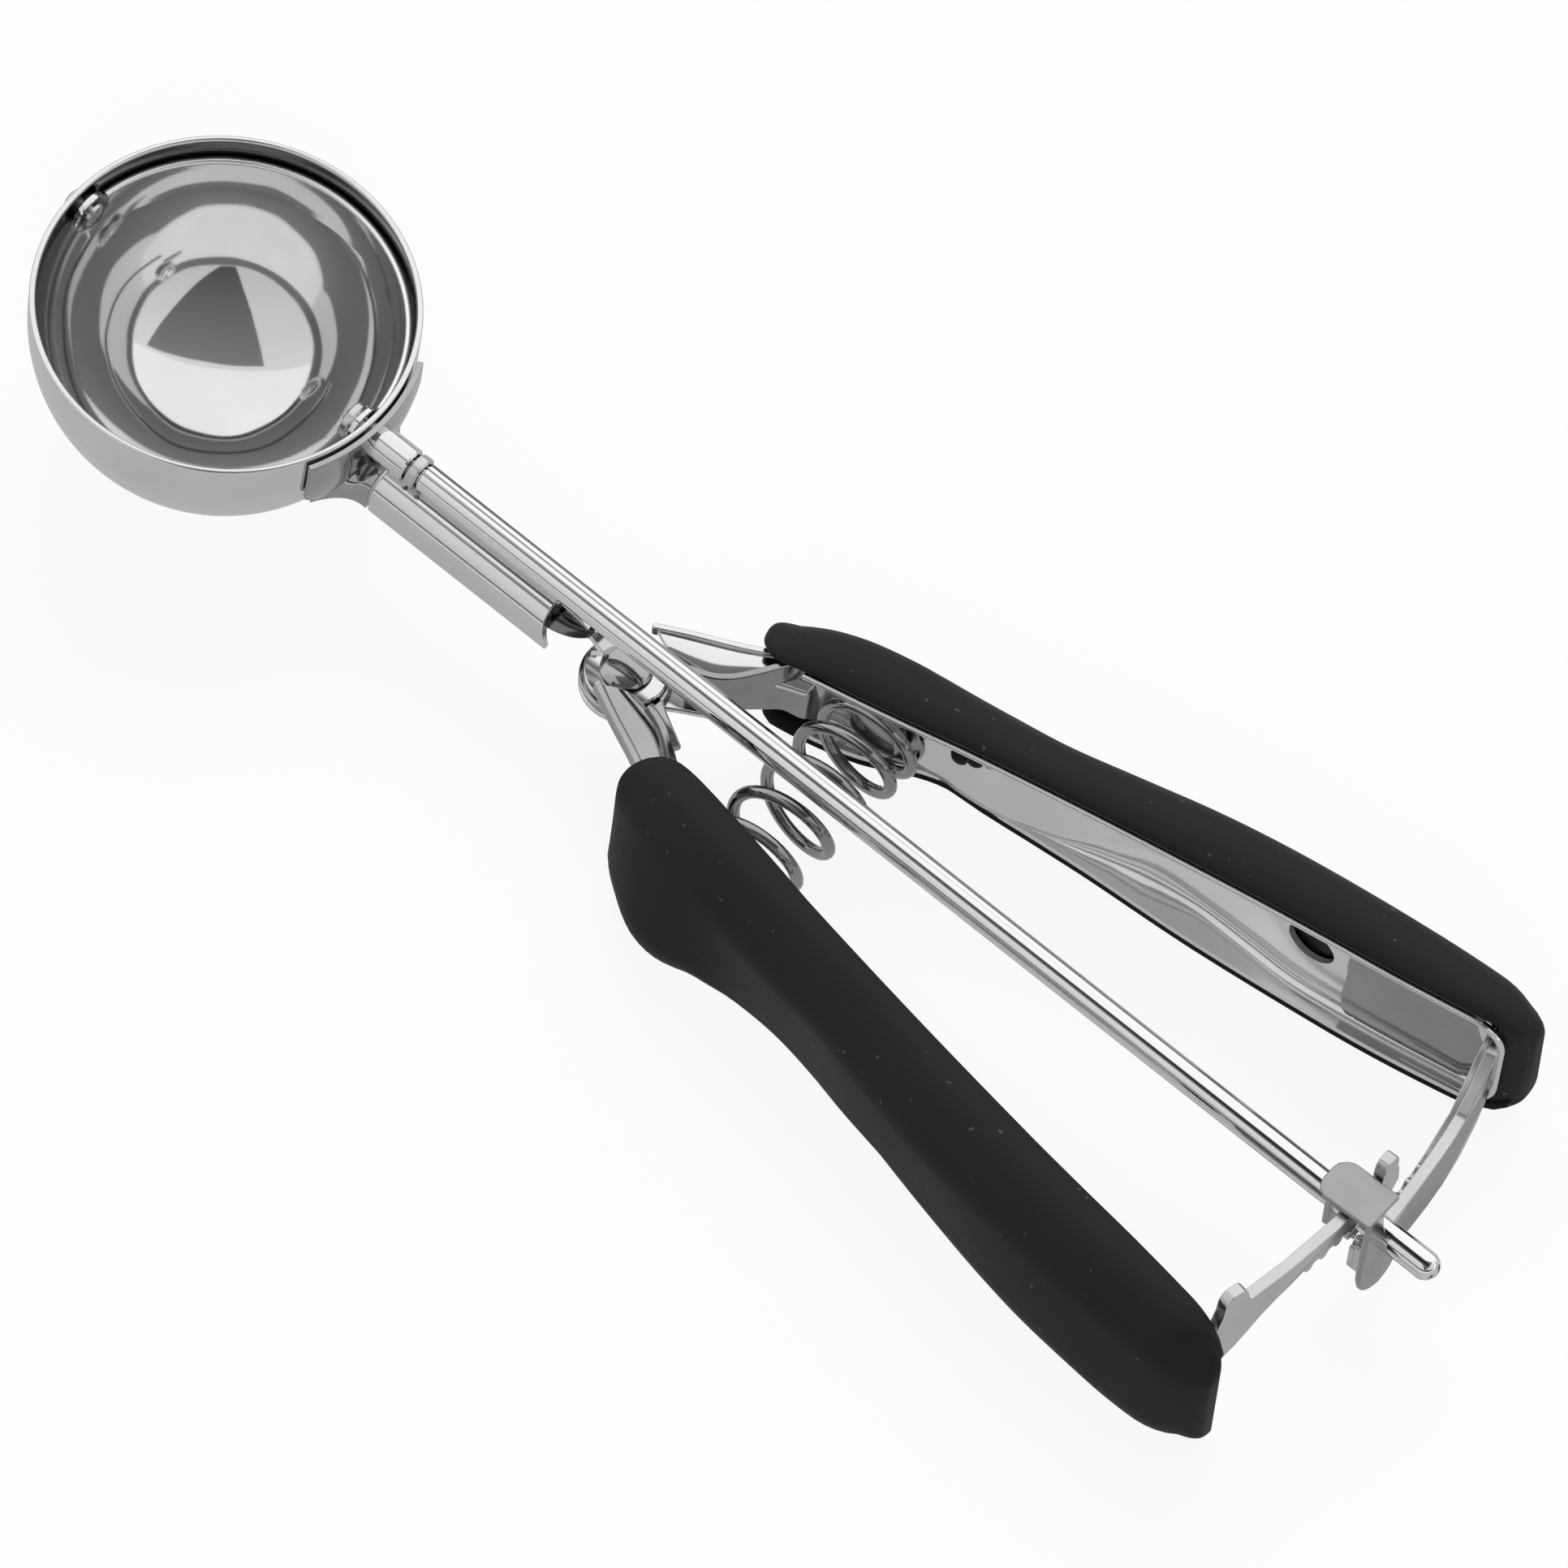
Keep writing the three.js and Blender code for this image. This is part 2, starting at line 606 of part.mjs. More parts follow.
// Rack arms: plates bent round the pivot. The left one passes over the rod with its teeth below,
// the right one under it with its teeth above and a smooth strip behind them
const rackMid = axisHeight(rearPlane);
const rackFront = rackRadius - RACK_SHEET / 2;
const rackRear = rackRadius + RACK_SHEET / 2;
const upperBack = [
  [30.4, -3.6], [30.4, 3.2], [28, 5], [26.9, 8.7], [26.7, 11], [25.8, 12.4], [23.8, 12.4], [23, 11],
  [22.6, 8.7], [16, 8.7], [12, 8.7], [8, 8.7], [4, 8.7], [-0.5, 8.7], [-0.6, 11.4], [-1.2, 12.6],
  [-3.1, 12.6], [-3.7, 11.4], [-3.8, 8.9], [-4.5, 8.3],
];
const lowerBack = [
  [24, -1.2], [27, -3.2], [30.4, -3.6], [30.4, 3.2], [27.6, 5.4], [24, 9], [20, 11.2], [16, 12.2],
  [12, 12.4], [8, 12.4], [2, 12.4], [-1, 11.6], [-2, 9.5],
];
const smoothTop = [
  [-2, 3.95], [4, 3.9], [6.5, 3.5], [10.4, 2.6], [12, 2.3], [14.2, 2.3], [15, 1.6], [19, 1.9],
];

function toothed(start, end) {
  const root = RACK_TIP + TOOTH_HEIGHT;
  const points = [[start, root]];
  for (let s = start + 0.4; s < end; s += TOOTH_PITCH) {
    points.push([s, root], [s + 0.5, RACK_TIP], [s + 1.4, RACK_TIP], [s + 1.9, root]);
  }
  return points;
}

function bentPlate(points, inside, outside, up) {
  const flat = { depth: outside - inside, bevelEnabled: false };
  const plate = new THREE.ExtrudeGeometry(outline(points), flat);
  const spots = plate.getAttribute("position");
  for (let i = 0; i < spots.count; i += 1) {
    const turn = spots.getX(i) / rackRadius;
    const r = up > 0 ? inside + spots.getZ(i) : outside - spots.getZ(i);
    spots.setXYZ(i, PIVOT_X + r * Math.cos(turn), r * Math.sin(turn), rackMid + up * spots.getY(i));
  }
  return plate;
}

function rack(up) {
  const wallGap = coreSide + CORE_SHEET + GAP + 0.75;
  const base = [162.4, 168, 172, 176, 179.5].map((x) => [x, outTopLine(x) - wallGap]);
  const root = 29.6 / rackRadius;
  base.push([PIVOT_X + rackRadius * Math.cos(root) - 1.2, rackRadius * Math.sin(root) + 0.9]);
  base.push([PIVOT_X + rackRadius * Math.cos(root) + 0.2, rackRadius * Math.sin(root) - 0.4]);
  const level = HANDLE_HEIGHT / 2;
  const foot = plateZ(strip(base, 1.2), level - 5.2, level + 5);
  if (up > 0) {
    const rise = [[15.4, RACK_TIP + 0.2], [20, 2.2], [24, -1.2], [27, -3.2]];
    return join(bentPlate([...toothed(-4.5, 13), ...rise, ...upperBack], rackFront, rackRear, up), foot);
  }
  const rise = [[14.9, 3.4], [20, 2]];
  const teeth = bentPlate([...toothed(-2, 12), ...rise, ...lowerBack], rackFront, rackRear, up);
  const backing = bentPlate([...smoothTop, ...lowerBack], rackRadius, rackRear + RACK_BACK, up);
  return join(teeth, backing, foot);
}

// Spring seat: a flat cup in the handle with a spigot inside the spring
function springSeat() {
  const wall = outTopLine(SPRING_X) - coreSide - CORE_SHEET;
  const back = Math.max(wall - 0.4, SEAT_Y + 1.2);
  return join(
    barY(4.2, SEAT_Y - 2, SEAT_Y + 0.1, 20),
    barY(SPRING_RADIUS, SEAT_Y, SEAT_Y + 0.9),
    barY(2.4, SEAT_Y + 0.8, back, 16),
  ).translate([SPRING_X, 0, SPRING_Z]);
}

// Right side as drawn, left side mirrored
const sides = [
  ["right", 1, rightEar, -1],
  ["left", -1, leftEar, 1],
];
sides.forEach(([word, mirror, ear, up]) => {
  const handle = new THREE.Group();
  handle.scale.y = mirror;
  handle.add(piece(`${word}_handle_core`, core(ear), polishedSteel));
  handle.add(piece(`${word}_grip`, grip, rubber));
  handle.add(piece(`${word}_rack`, rack(up), brushedSteel));
  handle.add(piece(`${word}_spring_seat`, springSeat(), brushedSteel));
  body.add(handle);
});

// Gear cover: a plate on the rod over the pinion, bent down in front of the rack arms and behind them
const COVER_SHEET = 0.9;
const coverFront = rearPlane - 5.1;
const coverRear = rackRear + RACK_BACK + PIVOT_X + 1.2;
const coverTop = rackMid + 9.2;
const coverRod = barX(ROD_RADIUS + GAP, -8, 12)
  .rotateY(HEAD_TILT)
  .translate(rearPlane, 0, rackMid);
const roof = [
  [coverRear + COVER_SHEET, 0.3],
  ...arc([coverFront + 2.4, -2.1], 2.4, quarter, Math.PI, 5),
  ...arc([coverFront + 2.4, -3.6], 2.4, Math.PI, 1.5 * Math.PI, 5),
  [coverRear + COVER_SHEET, -6],
];
const coverFace = [
  [-2.6, rackMid - 3.4], [2.6, rackMid - 3.4], [2.8, rackMid + 1.6], [-0.6, coverTop + 0.5],
  [-2.6, coverTop + 0.5],
];
const coverFlap = [
  [-5.6, coverTop + 0.5], [-5.6, rackMid + 4.5], [-5.8, rackMid], [-5.8, rackMid - 4],
  [-5, rackMid - 7.2], [-3.2, rackMid - 9.2], [-1.2, rackMid - 10], [0.6, rackMid - 9.4],
  [1.8, rackMid - 7.8], [2.2, rackMid - 5], [1.6, rackMid - 1], [-1.2, rackMid + 2],
  [-2.2, rackMid + 6], [-2.8, coverTop + 0.5],
];
const cover = join(
  plateZ(roof, coverTop, coverTop + COVER_SHEET),
  sectionX(coverFace, coverFront, coverFront + COVER_SHEET),
  sectionX(coverFlap, coverRear, coverRear + COVER_SHEET),
).subtract(solid(coverRod));
body.add(piece("gear_cover", cover, brushedSteel));

// Coil spring between the seats: close curls at its ends, wider ones where the rod passes over it
class Coil extends THREE.Curve {
  getPoint(t, target = new THREE.Vector3()) {
    const w = 2 * t - 1;
    const turn = Math.PI * SPRING_TURNS * w + Math.PI;
    const reach = SEAT_Y - SPRING_WIRE / 2 - GAP;
    return target.set(
      SPRING_X + SPRING_RADIUS * Math.sin(turn),
      reach * (w + 0.1 * Math.sin(Math.PI * w)),
      SPRING_Z + SPRING_RADIUS * Math.cos(turn),
    );
  }
}
const coil = new Coil();
const wire = outline(arc([0, 0], SPRING_WIRE / 2, 0, 1.6 * Math.PI, 4));
const spring = new THREE.ExtrudeGeometry(wire, {
  steps: 8 * SPRING_TURNS,
  extrudePath: coil,
  bevelEnabled: false,
});
body.add(piece("coil_spring", spring, springSteel));

// Least gap of the wire to itself, measured between points more than half a curl apart
const wirePoints = coil.getPoints(48 * SPRING_TURNS);
let leastGap = Infinity;
wirePoints.forEach((p, i) => {
  wirePoints.slice(i + 24).forEach((q) => {
    leastGap = Math.min(leastGap, p.distanceTo(q) - SPRING_WIRE);
  });
});
console.log(`spring: least gap to itself ${leastGap.toFixed(2)} mm`);

// The origin is the middle of the scoop's box, on the plane it lies on
const scoop = new THREE.Group();
scoop.add(body);
const box = new THREE.Box3().setFromObject(body, true);
body.position.set(-(box.min.x + box.max.x) / 2, 0, -box.min.z);

export default scoop;
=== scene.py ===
"""Ice cream scoop with squeeze handles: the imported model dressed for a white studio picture."""
import json
import math
from bisect import bisect_right

import bmesh
import bpy
from mathutils import Matrix, Vector


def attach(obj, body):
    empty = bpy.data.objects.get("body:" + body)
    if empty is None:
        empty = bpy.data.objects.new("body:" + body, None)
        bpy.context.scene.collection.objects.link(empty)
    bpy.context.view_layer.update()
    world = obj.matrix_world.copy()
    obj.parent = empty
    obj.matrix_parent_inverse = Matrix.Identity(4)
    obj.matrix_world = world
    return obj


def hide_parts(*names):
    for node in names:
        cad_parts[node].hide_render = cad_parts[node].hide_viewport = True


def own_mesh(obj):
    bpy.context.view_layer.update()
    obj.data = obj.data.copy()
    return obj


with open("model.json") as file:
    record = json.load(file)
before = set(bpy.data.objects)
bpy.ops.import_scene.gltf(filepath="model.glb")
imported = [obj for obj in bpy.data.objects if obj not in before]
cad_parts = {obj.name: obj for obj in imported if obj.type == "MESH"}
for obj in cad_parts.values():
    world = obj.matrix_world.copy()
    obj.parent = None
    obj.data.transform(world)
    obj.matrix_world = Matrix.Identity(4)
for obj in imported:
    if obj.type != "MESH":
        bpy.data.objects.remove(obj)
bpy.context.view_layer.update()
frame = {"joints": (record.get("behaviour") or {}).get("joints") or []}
joints = {joint["name"]: joint for joint in frame["joints"]}

# Sizes in millimetres, as in the solids except where a comment says otherwise
MM = 0.001
BOWL_RADIUS = 25.0
BOWL_SHEET = 0.8
AXIS_DROP = 4.05           # rod axis below the rim
WIPER_WIDTH = 6.0
WIPER_SHEET = 0.6
WIPER_GAP = 0.5
ROD_RADIUS = 1.9
JOURNAL_RADIUS = 1.6
BUSH_RADIUS = 2.35
BUSH_LENGTH = 7.4
RING_LENGTH = 1.6
COLLAR_SHEET = 0.8
COLLAR_HALF_ANGLE = 0.43
SHANK_HALF_WIDTH = 4.5
SHANK_HEIGHT = 6.0
SHANK_SHEET = 0.9
SHANK_CROWN = 3.6          # rise of its rounded top
SHANK_END = 58.0           # 3 mm past the end of the solid, as the photo shows
PIVOT_X = 67.2
PIVOT_STEM = 1.8
EAR_RADIUS = 6.0
EAR_SHEET = 1.0
TONGUE_BOTTOM = 12.2
STACK_GAP = 0.3
HANDLE_HEIGHT = 22.6
GRIP_FRONT = 78.7
GRIP_REAR = 188.2
GRIP_END = 1.2
GRIP_WALL = 1.8
GRIP_LIP = 1.6
CORNER = 6.5
REAR_ROUND = 8.5           # rounder than the solid, as the photo shows
FRONT_ROUND = 2.5
CORE_FRONT = 87.0
CORE_SHEET = 0.9
NECK_SHEET = 1.0
NECK_TOP = 16.6
NECK_BOTTOM = 9.4
RACK_INSET = 1.4
RACK_RADIUS = GRIP_REAR - RACK_INSET - PIVOT_X
RACK_BACK = 0.8
RACK_SHEET = 1.6
RACK_TIP = 4.05
TOOTH_PITCH = 2.6
TOOTH_HEIGHT = 1.0
PINION_TIP = 3.6
PINION_TEETH = 8
SPRING_X = 95.6
SPRING_Z = 10.2
SPRING_RADIUS = 6.4
SPRING_WIRE = 1.7          # thicker than the solid, as the photo shows
SPRING_TURNS = 6
SEAT_Y = 16.6
GAP = 0.3
QUARTER = math.pi / 2
SHARP_ANGLE = 32            # degrees past which an edge stays sharp

# The frame's own places
pivot = Vector(joints["left_squeeze"]["pos_m"])
rod_along = Vector(joints["wiper_turn"]["axis"]).normalized()
rod_point = Vector(joints["wiper_turn"]["pos_m"])
tilt = math.asin(-rod_along.z)
table = Matrix.Translation((pivot.x - PIVOT_X * MM, 0, 0)) @ Matrix.Scale(MM, 4)
side_axis = Vector((0, 1, 0))
up_axis = rod_along.cross(side_axis)
head_turn = Matrix((rod_along, side_axis, up_axis)).transposed().to_4x4()
head_origin = rod_point - rod_along * (AXIS_DROP * math.tan(tilt) * MM)
head = Matrix.Translation(head_origin) @ head_turn @ Matrix.Scale(MM, 4)
upright = Matrix.Identity(4)
lying = Matrix.Rotation(QUARTER, 4, "Y")    # turns a profile about Z into one about X


def axis_height(x):
    """Height of the rod's axis at a table x."""
    return BOWL_RADIUS - math.tan(tilt) * (x + AXIS_DROP * math.sin(tilt))


def to_head(x):
    return (x + AXIS_DROP * math.sin(tilt)) / math.cos(tilt)


# Mesh building
def arc(centre, radius, start, end, steps):
    points = []
    for i in range(steps + 1):
        a = start + (end - start) * i / steps
        points.append((centre[0] + radius * math.cos(a), centre[1] + radius * math.sin(a)))
    return points


def full_circle(centre, radius, sides):
    return arc(centre, radius, 0, 2 * math.pi * (sides - 1) / sides, sides - 1)


def through(points):
    """A smooth line through a few (x, value) points."""
    xs = [x for x, _ in points]
    vs = [v for _, v in points]
    slopes = []
    for i in range(len(xs)):
        lo, hi = max(i - 1, 0), min(i + 1, len(xs) - 1)
        slopes.append((vs[hi] - vs[lo]) / (xs[hi] - xs[lo]))

    def value(x):
        x = min(max(x, xs[0]), xs[-1])
        i = min(max(bisect_right(xs, x) - 1, 0), len(xs) - 2)
        h = xs[i + 1] - xs[i]
        t = (x - xs[i]) / h
        a = (2 * t ** 3 - 3 * t ** 2 + 1) * vs[i] + (t ** 3 - 2 * t ** 2 + t) * h * slopes[i]
        b = (3 * t ** 2 - 2 * t ** 3) * vs[i + 1] + (t ** 3 - t ** 2) * h * slopes[i + 1]
        return a + b

    return value


def strip(line, thickness):
    """Outline of a strip of even thickness along a plan line."""
    left, right = [], []
    for i, (x, y) in enumerate(line):
        ax, ay = line[max(i - 1, 0)]
        bx, by = line[min(i + 1, len(line) - 1)]
        length = math.hypot(bx - ax, by - ay)
        nx = -(by - ay) / length * thickness / 2
        ny = (bx - ax) / length * thickness / 2
        left.append((x + nx, y + ny))
        right.append((x - nx, y - ny))
    return right + left[::-1]


def soften(points, reach, steps=4):
    """Rounds the corners of a closed outline."""
    out = []
    for i, (x, y) in enumerate(points):
        ax, ay = points[i - 1]
        bx, by = points[(i + 1) % len(points)]
        ta = min(0.45, reach / math.hypot(ax - x, ay - y))
        tb = min(0.45, reach / math.hypot(bx - x, by - y))
        for k in range(steps + 1):
            t = k / steps
            back, on = ta * (1 - t) ** 2, tb * t ** 2
            out.append((x + (ax - x) * back + (bx - x) * on, y + (ay - y) * back + (by - y) * on))
    return out


def smooth_line(points, steps):
    """A finer line through plan points, rounded at the points between."""
    marks = [0.0]
    for (ax, ay), (bx, by) in zip(points, points[1:]):
        marks.append(marks[-1] + math.hypot(bx - ax, by - ay))
    line_x = through(list(zip(marks, [p[0] for p in points])))
    line_y = through(list(zip(marks, [p[1] for p in points])))
    return [(line_x(marks[-1] * i / steps), line_y(marks[-1] * i / steps)) for i in range(steps + 1)]


def add_object(name, data):
    obj = bpy.data.objects.new(name, data)
    bpy.context.scene.collection.objects.link(obj)
    return obj


def smooth_shade(mesh, sharp):
    for face in mesh.polygons:
        face.use_smooth = True
    mesh.set_sharp_from_angle(angle=math.radians(sharp))


class Builder:
    """Gathers closed forms in millimetres and turns them into one piece."""

    def __init__(self, place=table, mirror=1):
        self.place = place
        self.mirror = mirror
        self.verts = []
        self.faces = []

    def loft(self, rings, caps=True):
        base, count = len(self.verts), len(rings[0])
        for ring in rings:
            self.verts.extend(Vector(p) for p in ring)
        for i in range(len(rings) - 1):
            for k in range(count):
                n = (k + 1) % count
                a, b = base + i * count, base + (i + 1) * count
                self.faces.append((a + k, a + n, b + n, b + k))
        if caps:
            last = base + (len(rings) - 1) * count
            self.faces.append(tuple(range(base + count - 1, base - 1, -1)))
            self.faces.append(tuple(range(last, last + count)))
        return self

    def lathe(self, profile, about=upright, at=(0, 0, 0), sides=64):
        """Turns an (r, z) profile whose ends close on the axis, or on each other."""
        base, count = len(self.verts), len(profile)
        for i in range(sides):
            a = 2 * math.pi * i / sides
            ring = [about @ Vector((r * math.cos(a), r * math.sin(a), z)) for r, z in profile]
            self.verts.extend(p + Vector(at) for p in ring)
        for i in range(sides):
            a, b = base + i * count, base + (i + 1) % sides * count
            for k in range(count - 1):
                self.faces.append((a + k, b + k, b + k + 1, a + k + 1))
        return self

    def prism(self, outline, low, high, spot=lambda u, v, w: (u, v, w)):
        """A flat outline raised from low to high; spot gives each point its place."""
        ring = [[spot(u, v, w) for u, v in outline] for w in (low, high)]
        return self.loft(ring)

    def piece(self, name, body, slot, material, replaces, bevel=0.0, segments=2, sharp=SHARP_ANGLE):
        flip = Matrix.Diagonal((1, self.mirror, 1, 1))
        mesh = bpy.data.meshes.new(name)
        mesh.from_pydata([self.place @ (flip @ v) for v in self.verts], [], self.faces)
        work = bmesh.new()
        work.from_mesh(mesh)
        bmesh.ops.remove_doubles(work, verts=work.verts, dist=1e-7)
        bmesh.ops.dissolve_degenerate(work, dist=1e-7, edges=work.edges)
        bmesh.ops.recalc_face_normals(work, faces=work.faces)
        work.to_mesh(mesh)
        work.free()
        smooth_shade(mesh, sharp)
        mesh.materials.append(material)
        obj = add_object(name, mesh)
        if bevel:
            edge = obj.modifiers.new("edge", "BEVEL")
            edge.width = bevel * MM
            edge.segments = segments
            edge.limit_method = "ANGLE"
            edge.angle_limit = math.radians(sharp)
            edge.harden_normals = True
        if body:
            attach(obj, body)
            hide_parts(*replaces)
        return obj


# Materials
def new_material(name):
    material = bpy.data.materials.new(name)
    material.use_nodes = True
    return material, material.node_tree


def feed(tree, node, inputs):
    """Sets inputs of a node, each to a value or to the output of another node."""
    for key, value in inputs.items():
        if isinstance(value, bpy.types.NodeSocket):
            tree.links.new(value, node.inputs[key])
        else:
            node.inputs[key].default_value = value


def add(tree, kind, inputs):
    node = tree.nodes.new(kind)
    feed(tree, node, inputs)
    return node


def noise(tree, scale, stretch=(1, 1, 1), detail=4.0, turn=(0, 0, 0)):
    """A noise drawn out by stretch along turned axes."""
    where = tree.nodes.new("ShaderNodeTexCoord").outputs["Object"]
    mapping = tree.nodes.new("ShaderNodeMapping")
    mapping.vector_type = "TEXTURE"
    feed(tree, mapping, {"Vector": where, "Rotation": turn, "Scale": stretch})
    place = mapping.outputs["Vector"]
    return add(tree, "ShaderNodeTexNoise", {"Vector": place, "Scale": scale, "Detail": detail}).outputs["Fac"]


def spread(tree, value, low, high, start=0.3, end=0.7):
    """Maps a value from start and end to low and high; a noise lies mostly within the default range."""
    ramp = add(tree, "ShaderNodeMapRange", {
        "Value": value, "From Min": start, "From Max": end, "To Min": low, "To Max": high})
    return ramp.outputs["Result"]


def blend(tree, share, first, second):
    mix = tree.nodes.new("ShaderNodeMix")
    mix.data_type = "RGBA"
    feed(tree, mix, {"Factor": share, "A": first, "B": second})
    return mix.outputs["Result"]


BLOTCH_SCALE = 90
WAVE_SCALE = 85
WAVE_DEPTH = 0.0004
GRAIN_DETAIL = 6
GRAIN_DEPTH = 0.00005
EVEN = (1, 1, 1)


def steel(name, light, dark, rough, grain, stretch, bump=0.006, wave=0.0, metal=1.0):
    """Stainless steel: faint blotches, a grain in its roughness, a fine bump and slow waves of the sheet."""
    material, tree = new_material(name)
    blotch = spread(tree, noise(tree, BLOTCH_SCALE), 0, 1)
    lines = noise(tree, grain, stretch, GRAIN_DETAIL)
    sheet = add(tree, "ShaderNodeBump", {
        "Height": noise(tree, WAVE_SCALE, detail=1), "Strength": wave, "Distance": WAVE_DEPTH})
    relief = add(tree, "ShaderNodeBump", {
        "Height": lines, "Strength": bump, "Distance": GRAIN_DEPTH, "Normal": sheet.outputs["Normal"]})
    feed(tree, tree.nodes["Principled BSDF"], {
        "Base Color": blend(tree, blotch, (*dark, 1), (*light, 1)),
        "Roughness": spread(tree, lines, rough * 0.9, rough * 1.1),
        "Metallic": metal,
        "Normal": relief.outputs["Normal"]})
    return material


def reflection_streak_steel(name):
    """A round bar: bright, with thin dark lines along it painted as reflections."""
    material, tree = new_material(name)
    lines = noise(tree, scale=900, stretch=(400, 1, 1), detail=1, turn=head_turn.to_euler())
    # The thin dark lines are painted reflections on the bright steel
    reflection_dark, reflection_light = (0.10, 0.10, 0.105, 1), (0.87, 0.87, 0.87, 1)
    feed(tree, tree.nodes["Principled BSDF"], {
        "Base Color": blend(tree, spread(tree, lines, 0, 1, start=0.40, end=0.47), reflection_dark, reflection_light),
        "Roughness": spread(tree, lines, low=0.05, high=0.08),
        "Metallic": 1.0})
    return material


def rubber(name):
    """Soft black rubber: fine moulded grain, worn paler patches and a few specks of dust."""
    material, tree = new_material(name)
    patch = noise(tree, scale=60)
    speck = noise(tree, scale=900, detail=0)
    black, worn, dust = (0.0070, 0.0070, 0.0073, 1), (0.0105, 0.0105, 0.0108, 1), (0.05, 0.05, 0.05, 1)
    base = blend(tree, spread(tree, patch, 0, 1), black, worn)
    relief = add(tree, "ShaderNodeBump", {
        "Height": noise(tree, scale=5200, detail=2), "Strength": 0.25, "Distance": 0.00004})
    feed(tree, tree.nodes["Principled BSDF"], {
        "Base Color": blend(tree, spread(tree, speck, 0, 1, start=0.82, end=0.85), base, dust),
        "Roughness": spread(tree, patch, low=0.46, high=0.6),
        "Specular IOR Level": 0.2,
        "Normal": relief.outputs["Normal"]})
    return material


mirror_steel = steel("mirror_steel", light=(0.79, 0.79, 0.792), dark=(0.74, 0.74, 0.743), rough=0.06,
                     grain=500, stretch=EVEN, bump=0.004, wave=0.4, metal=0.94)
bright_steel = steel("bright_steel", light=(0.80, 0.80, 0.80), dark=(0.75, 0.75, 0.755), rough=0.12,
                     grain=700, stretch=(16, 1, 1))
rod_steel = reflection_streak_steel("rod_steel")
# A darker copy of the bright steel: painted shade on the collar, the rivet and the left neck plate
shaded_steel = steel("shaded_steel", light=(0.46, 0.46, 0.46), dark=(0.38, 0.38, 0.385), rough=0.12, grain=500,
                  stretch=(5, 1, 1))
satin_steel = steel("satin_steel", light=(0.66, 0.66, 0.665), dark=(0.60, 0.60, 0.605), rough=0.26, grain=600,
                    stretch=(1, 1, 3))
# A lighter, partly diffuse copy of the bright steel: painted light on the channel
lit_channel_steel = steel("lit_channel_steel", light=(0.86, 0.86, 0.86), dark=(0.80, 0.80, 0.805), rough=0.13,
                      grain=500, stretch=(9, 1, 1), metal=0.8)
# A darker copy of the satin steel: painted shade on the gear cover
shaded_cover_steel = steel("shaded_cover_steel", light=(0.42, 0.42, 0.42), dark=(0.34, 0.34, 0.345), rough=0.24, grain=500,
                    stretch=EVEN)
# A still darker copy of the steel: painted shade on the neck webs, the rack bases, the spring seats and the
# coil
deep_shaded_steel = steel("deep_shaded_steel", light=(0.40, 0.40, 0.405), dark=(0.33, 0.33, 0.335), rough=0.10, grain=900,
                   stretch=EVEN)
# Near black steel: painted dark reflection inside the bowl and painted shade in the shank's hollow
painted_dark_steel = steel("painted_dark_steel", light=(0.16, 0.16, 0.16), dark=(0.12, 0.12, 0.122), rough=0.12, grain=500,
                   stretch=EVEN, bump=0.004, wave=0.3)
# Near white rough steel: a painted highlight along the wiper's edge
highlight_steel = steel("highlight_steel", light=(0.96, 0.96, 0.96), dark=(0.92, 0.92, 0.92), rough=0.35, grain=700,
                   stretch=EVEN, bump=0.0)
black_rubber = rubber("black_rubber")

# Bowl and wiper
RIM_ROUND = 0.36
BOWL_STEPS = 40
BOWL_SIDES = 160
inner = BOWL_RADIUS - BOWL_SHEET
rim_height = AXIS_DROP - RIM_ROUND
bowl_profile = arc((0, 0), BOWL_RADIUS, -QUARTER, 0, BOWL_STEPS)
bowl_profile += arc((BOWL_RADIUS - RIM_ROUND, rim_height), RIM_ROUND, 0, QUARTER, 5)
bowl_profile += arc((inner + RIM_ROUND, rim_height), RIM_ROUND, QUARTER, math.pi, 5)
bowl_profile += arc((0, 0), inner, 0, -QUARTER, BOWL_STEPS)
Builder(head).lathe(bowl_profile, sides=BOWL_SIDES).piece(
    "bowl_sheet", "frame", "mirror_steel", mirror_steel, ["bowl"])

# Darker upright band inside the bowl above the wiper, a painted dark reflection on the polished wall
BAND_LOW = 0.3
band_top = AXIS_DROP - 0.5
band_in = inner - 0.06      # stands just off the wall
band_out = inner + 0.1      # and reaches into it
band_profile = [(band_out, BAND_LOW), (band_in, BAND_LOW), (band_in, band_top), (band_out, band_top + 0.1),
                (band_out, BAND_LOW)]
Builder(head).lathe(band_profile, sides=BOWL_SIDES).piece(
    "bowl_band", "frame", "mirror_steel", painted_dark_steel, [])

# Wiper blade with a round tab at each end
TAB_RADIUS = 3.0
TAB_SHEET = 0.9
BLADE_STEPS = 72
wiper_outer = inner - WIPER_GAP
wiper_inner = wiper_outer - WIPER_SHEET
wiper_angle = WIPER_WIDTH / wiper_outer
blade_section = arc((0, 0), wiper_outer, -wiper_angle, 0, 6)
blade_section += arc((0, 0), wiper_inner, 0, -wiper_angle, 6)
tab_outer = math.sqrt(wiper_outer ** 2 - TAB_RADIUS ** 2)
tab_inner = tab_outer - TAB_SHEET
blade = Builder(head)
blade.loft([[(r * math.cos(a), r * math.sin(a), z) for r, z in blade_section]
            for a in (math.pi * i / BLADE_STEPS for i in range(BLADE_STEPS + 1))])


def round_bar(builder, radius, start, end, edge=0.15, bore=0.0, sides=48):
    """A turned bar or sleeve along X with small chamfers."""
    profile = [(bore, start), (radius - edge, start), (radius, start + edge),
               (radius, end - edge), (radius - edge, end), (bore, end)]
    if bore:
        profile.append((bore, start))
    return builder.lathe(profile, about=lying, sides=sides)


round_bar(blade, TAB_RADIUS, tab_inner, tab_outer)
round_bar(blade, TAB_RADIUS, -tab_outer, -tab_inner)
blade.piece("wiper_sheet", "wiper_shaft", "mirror_steel", mirror_steel, ["wiper_blade"])
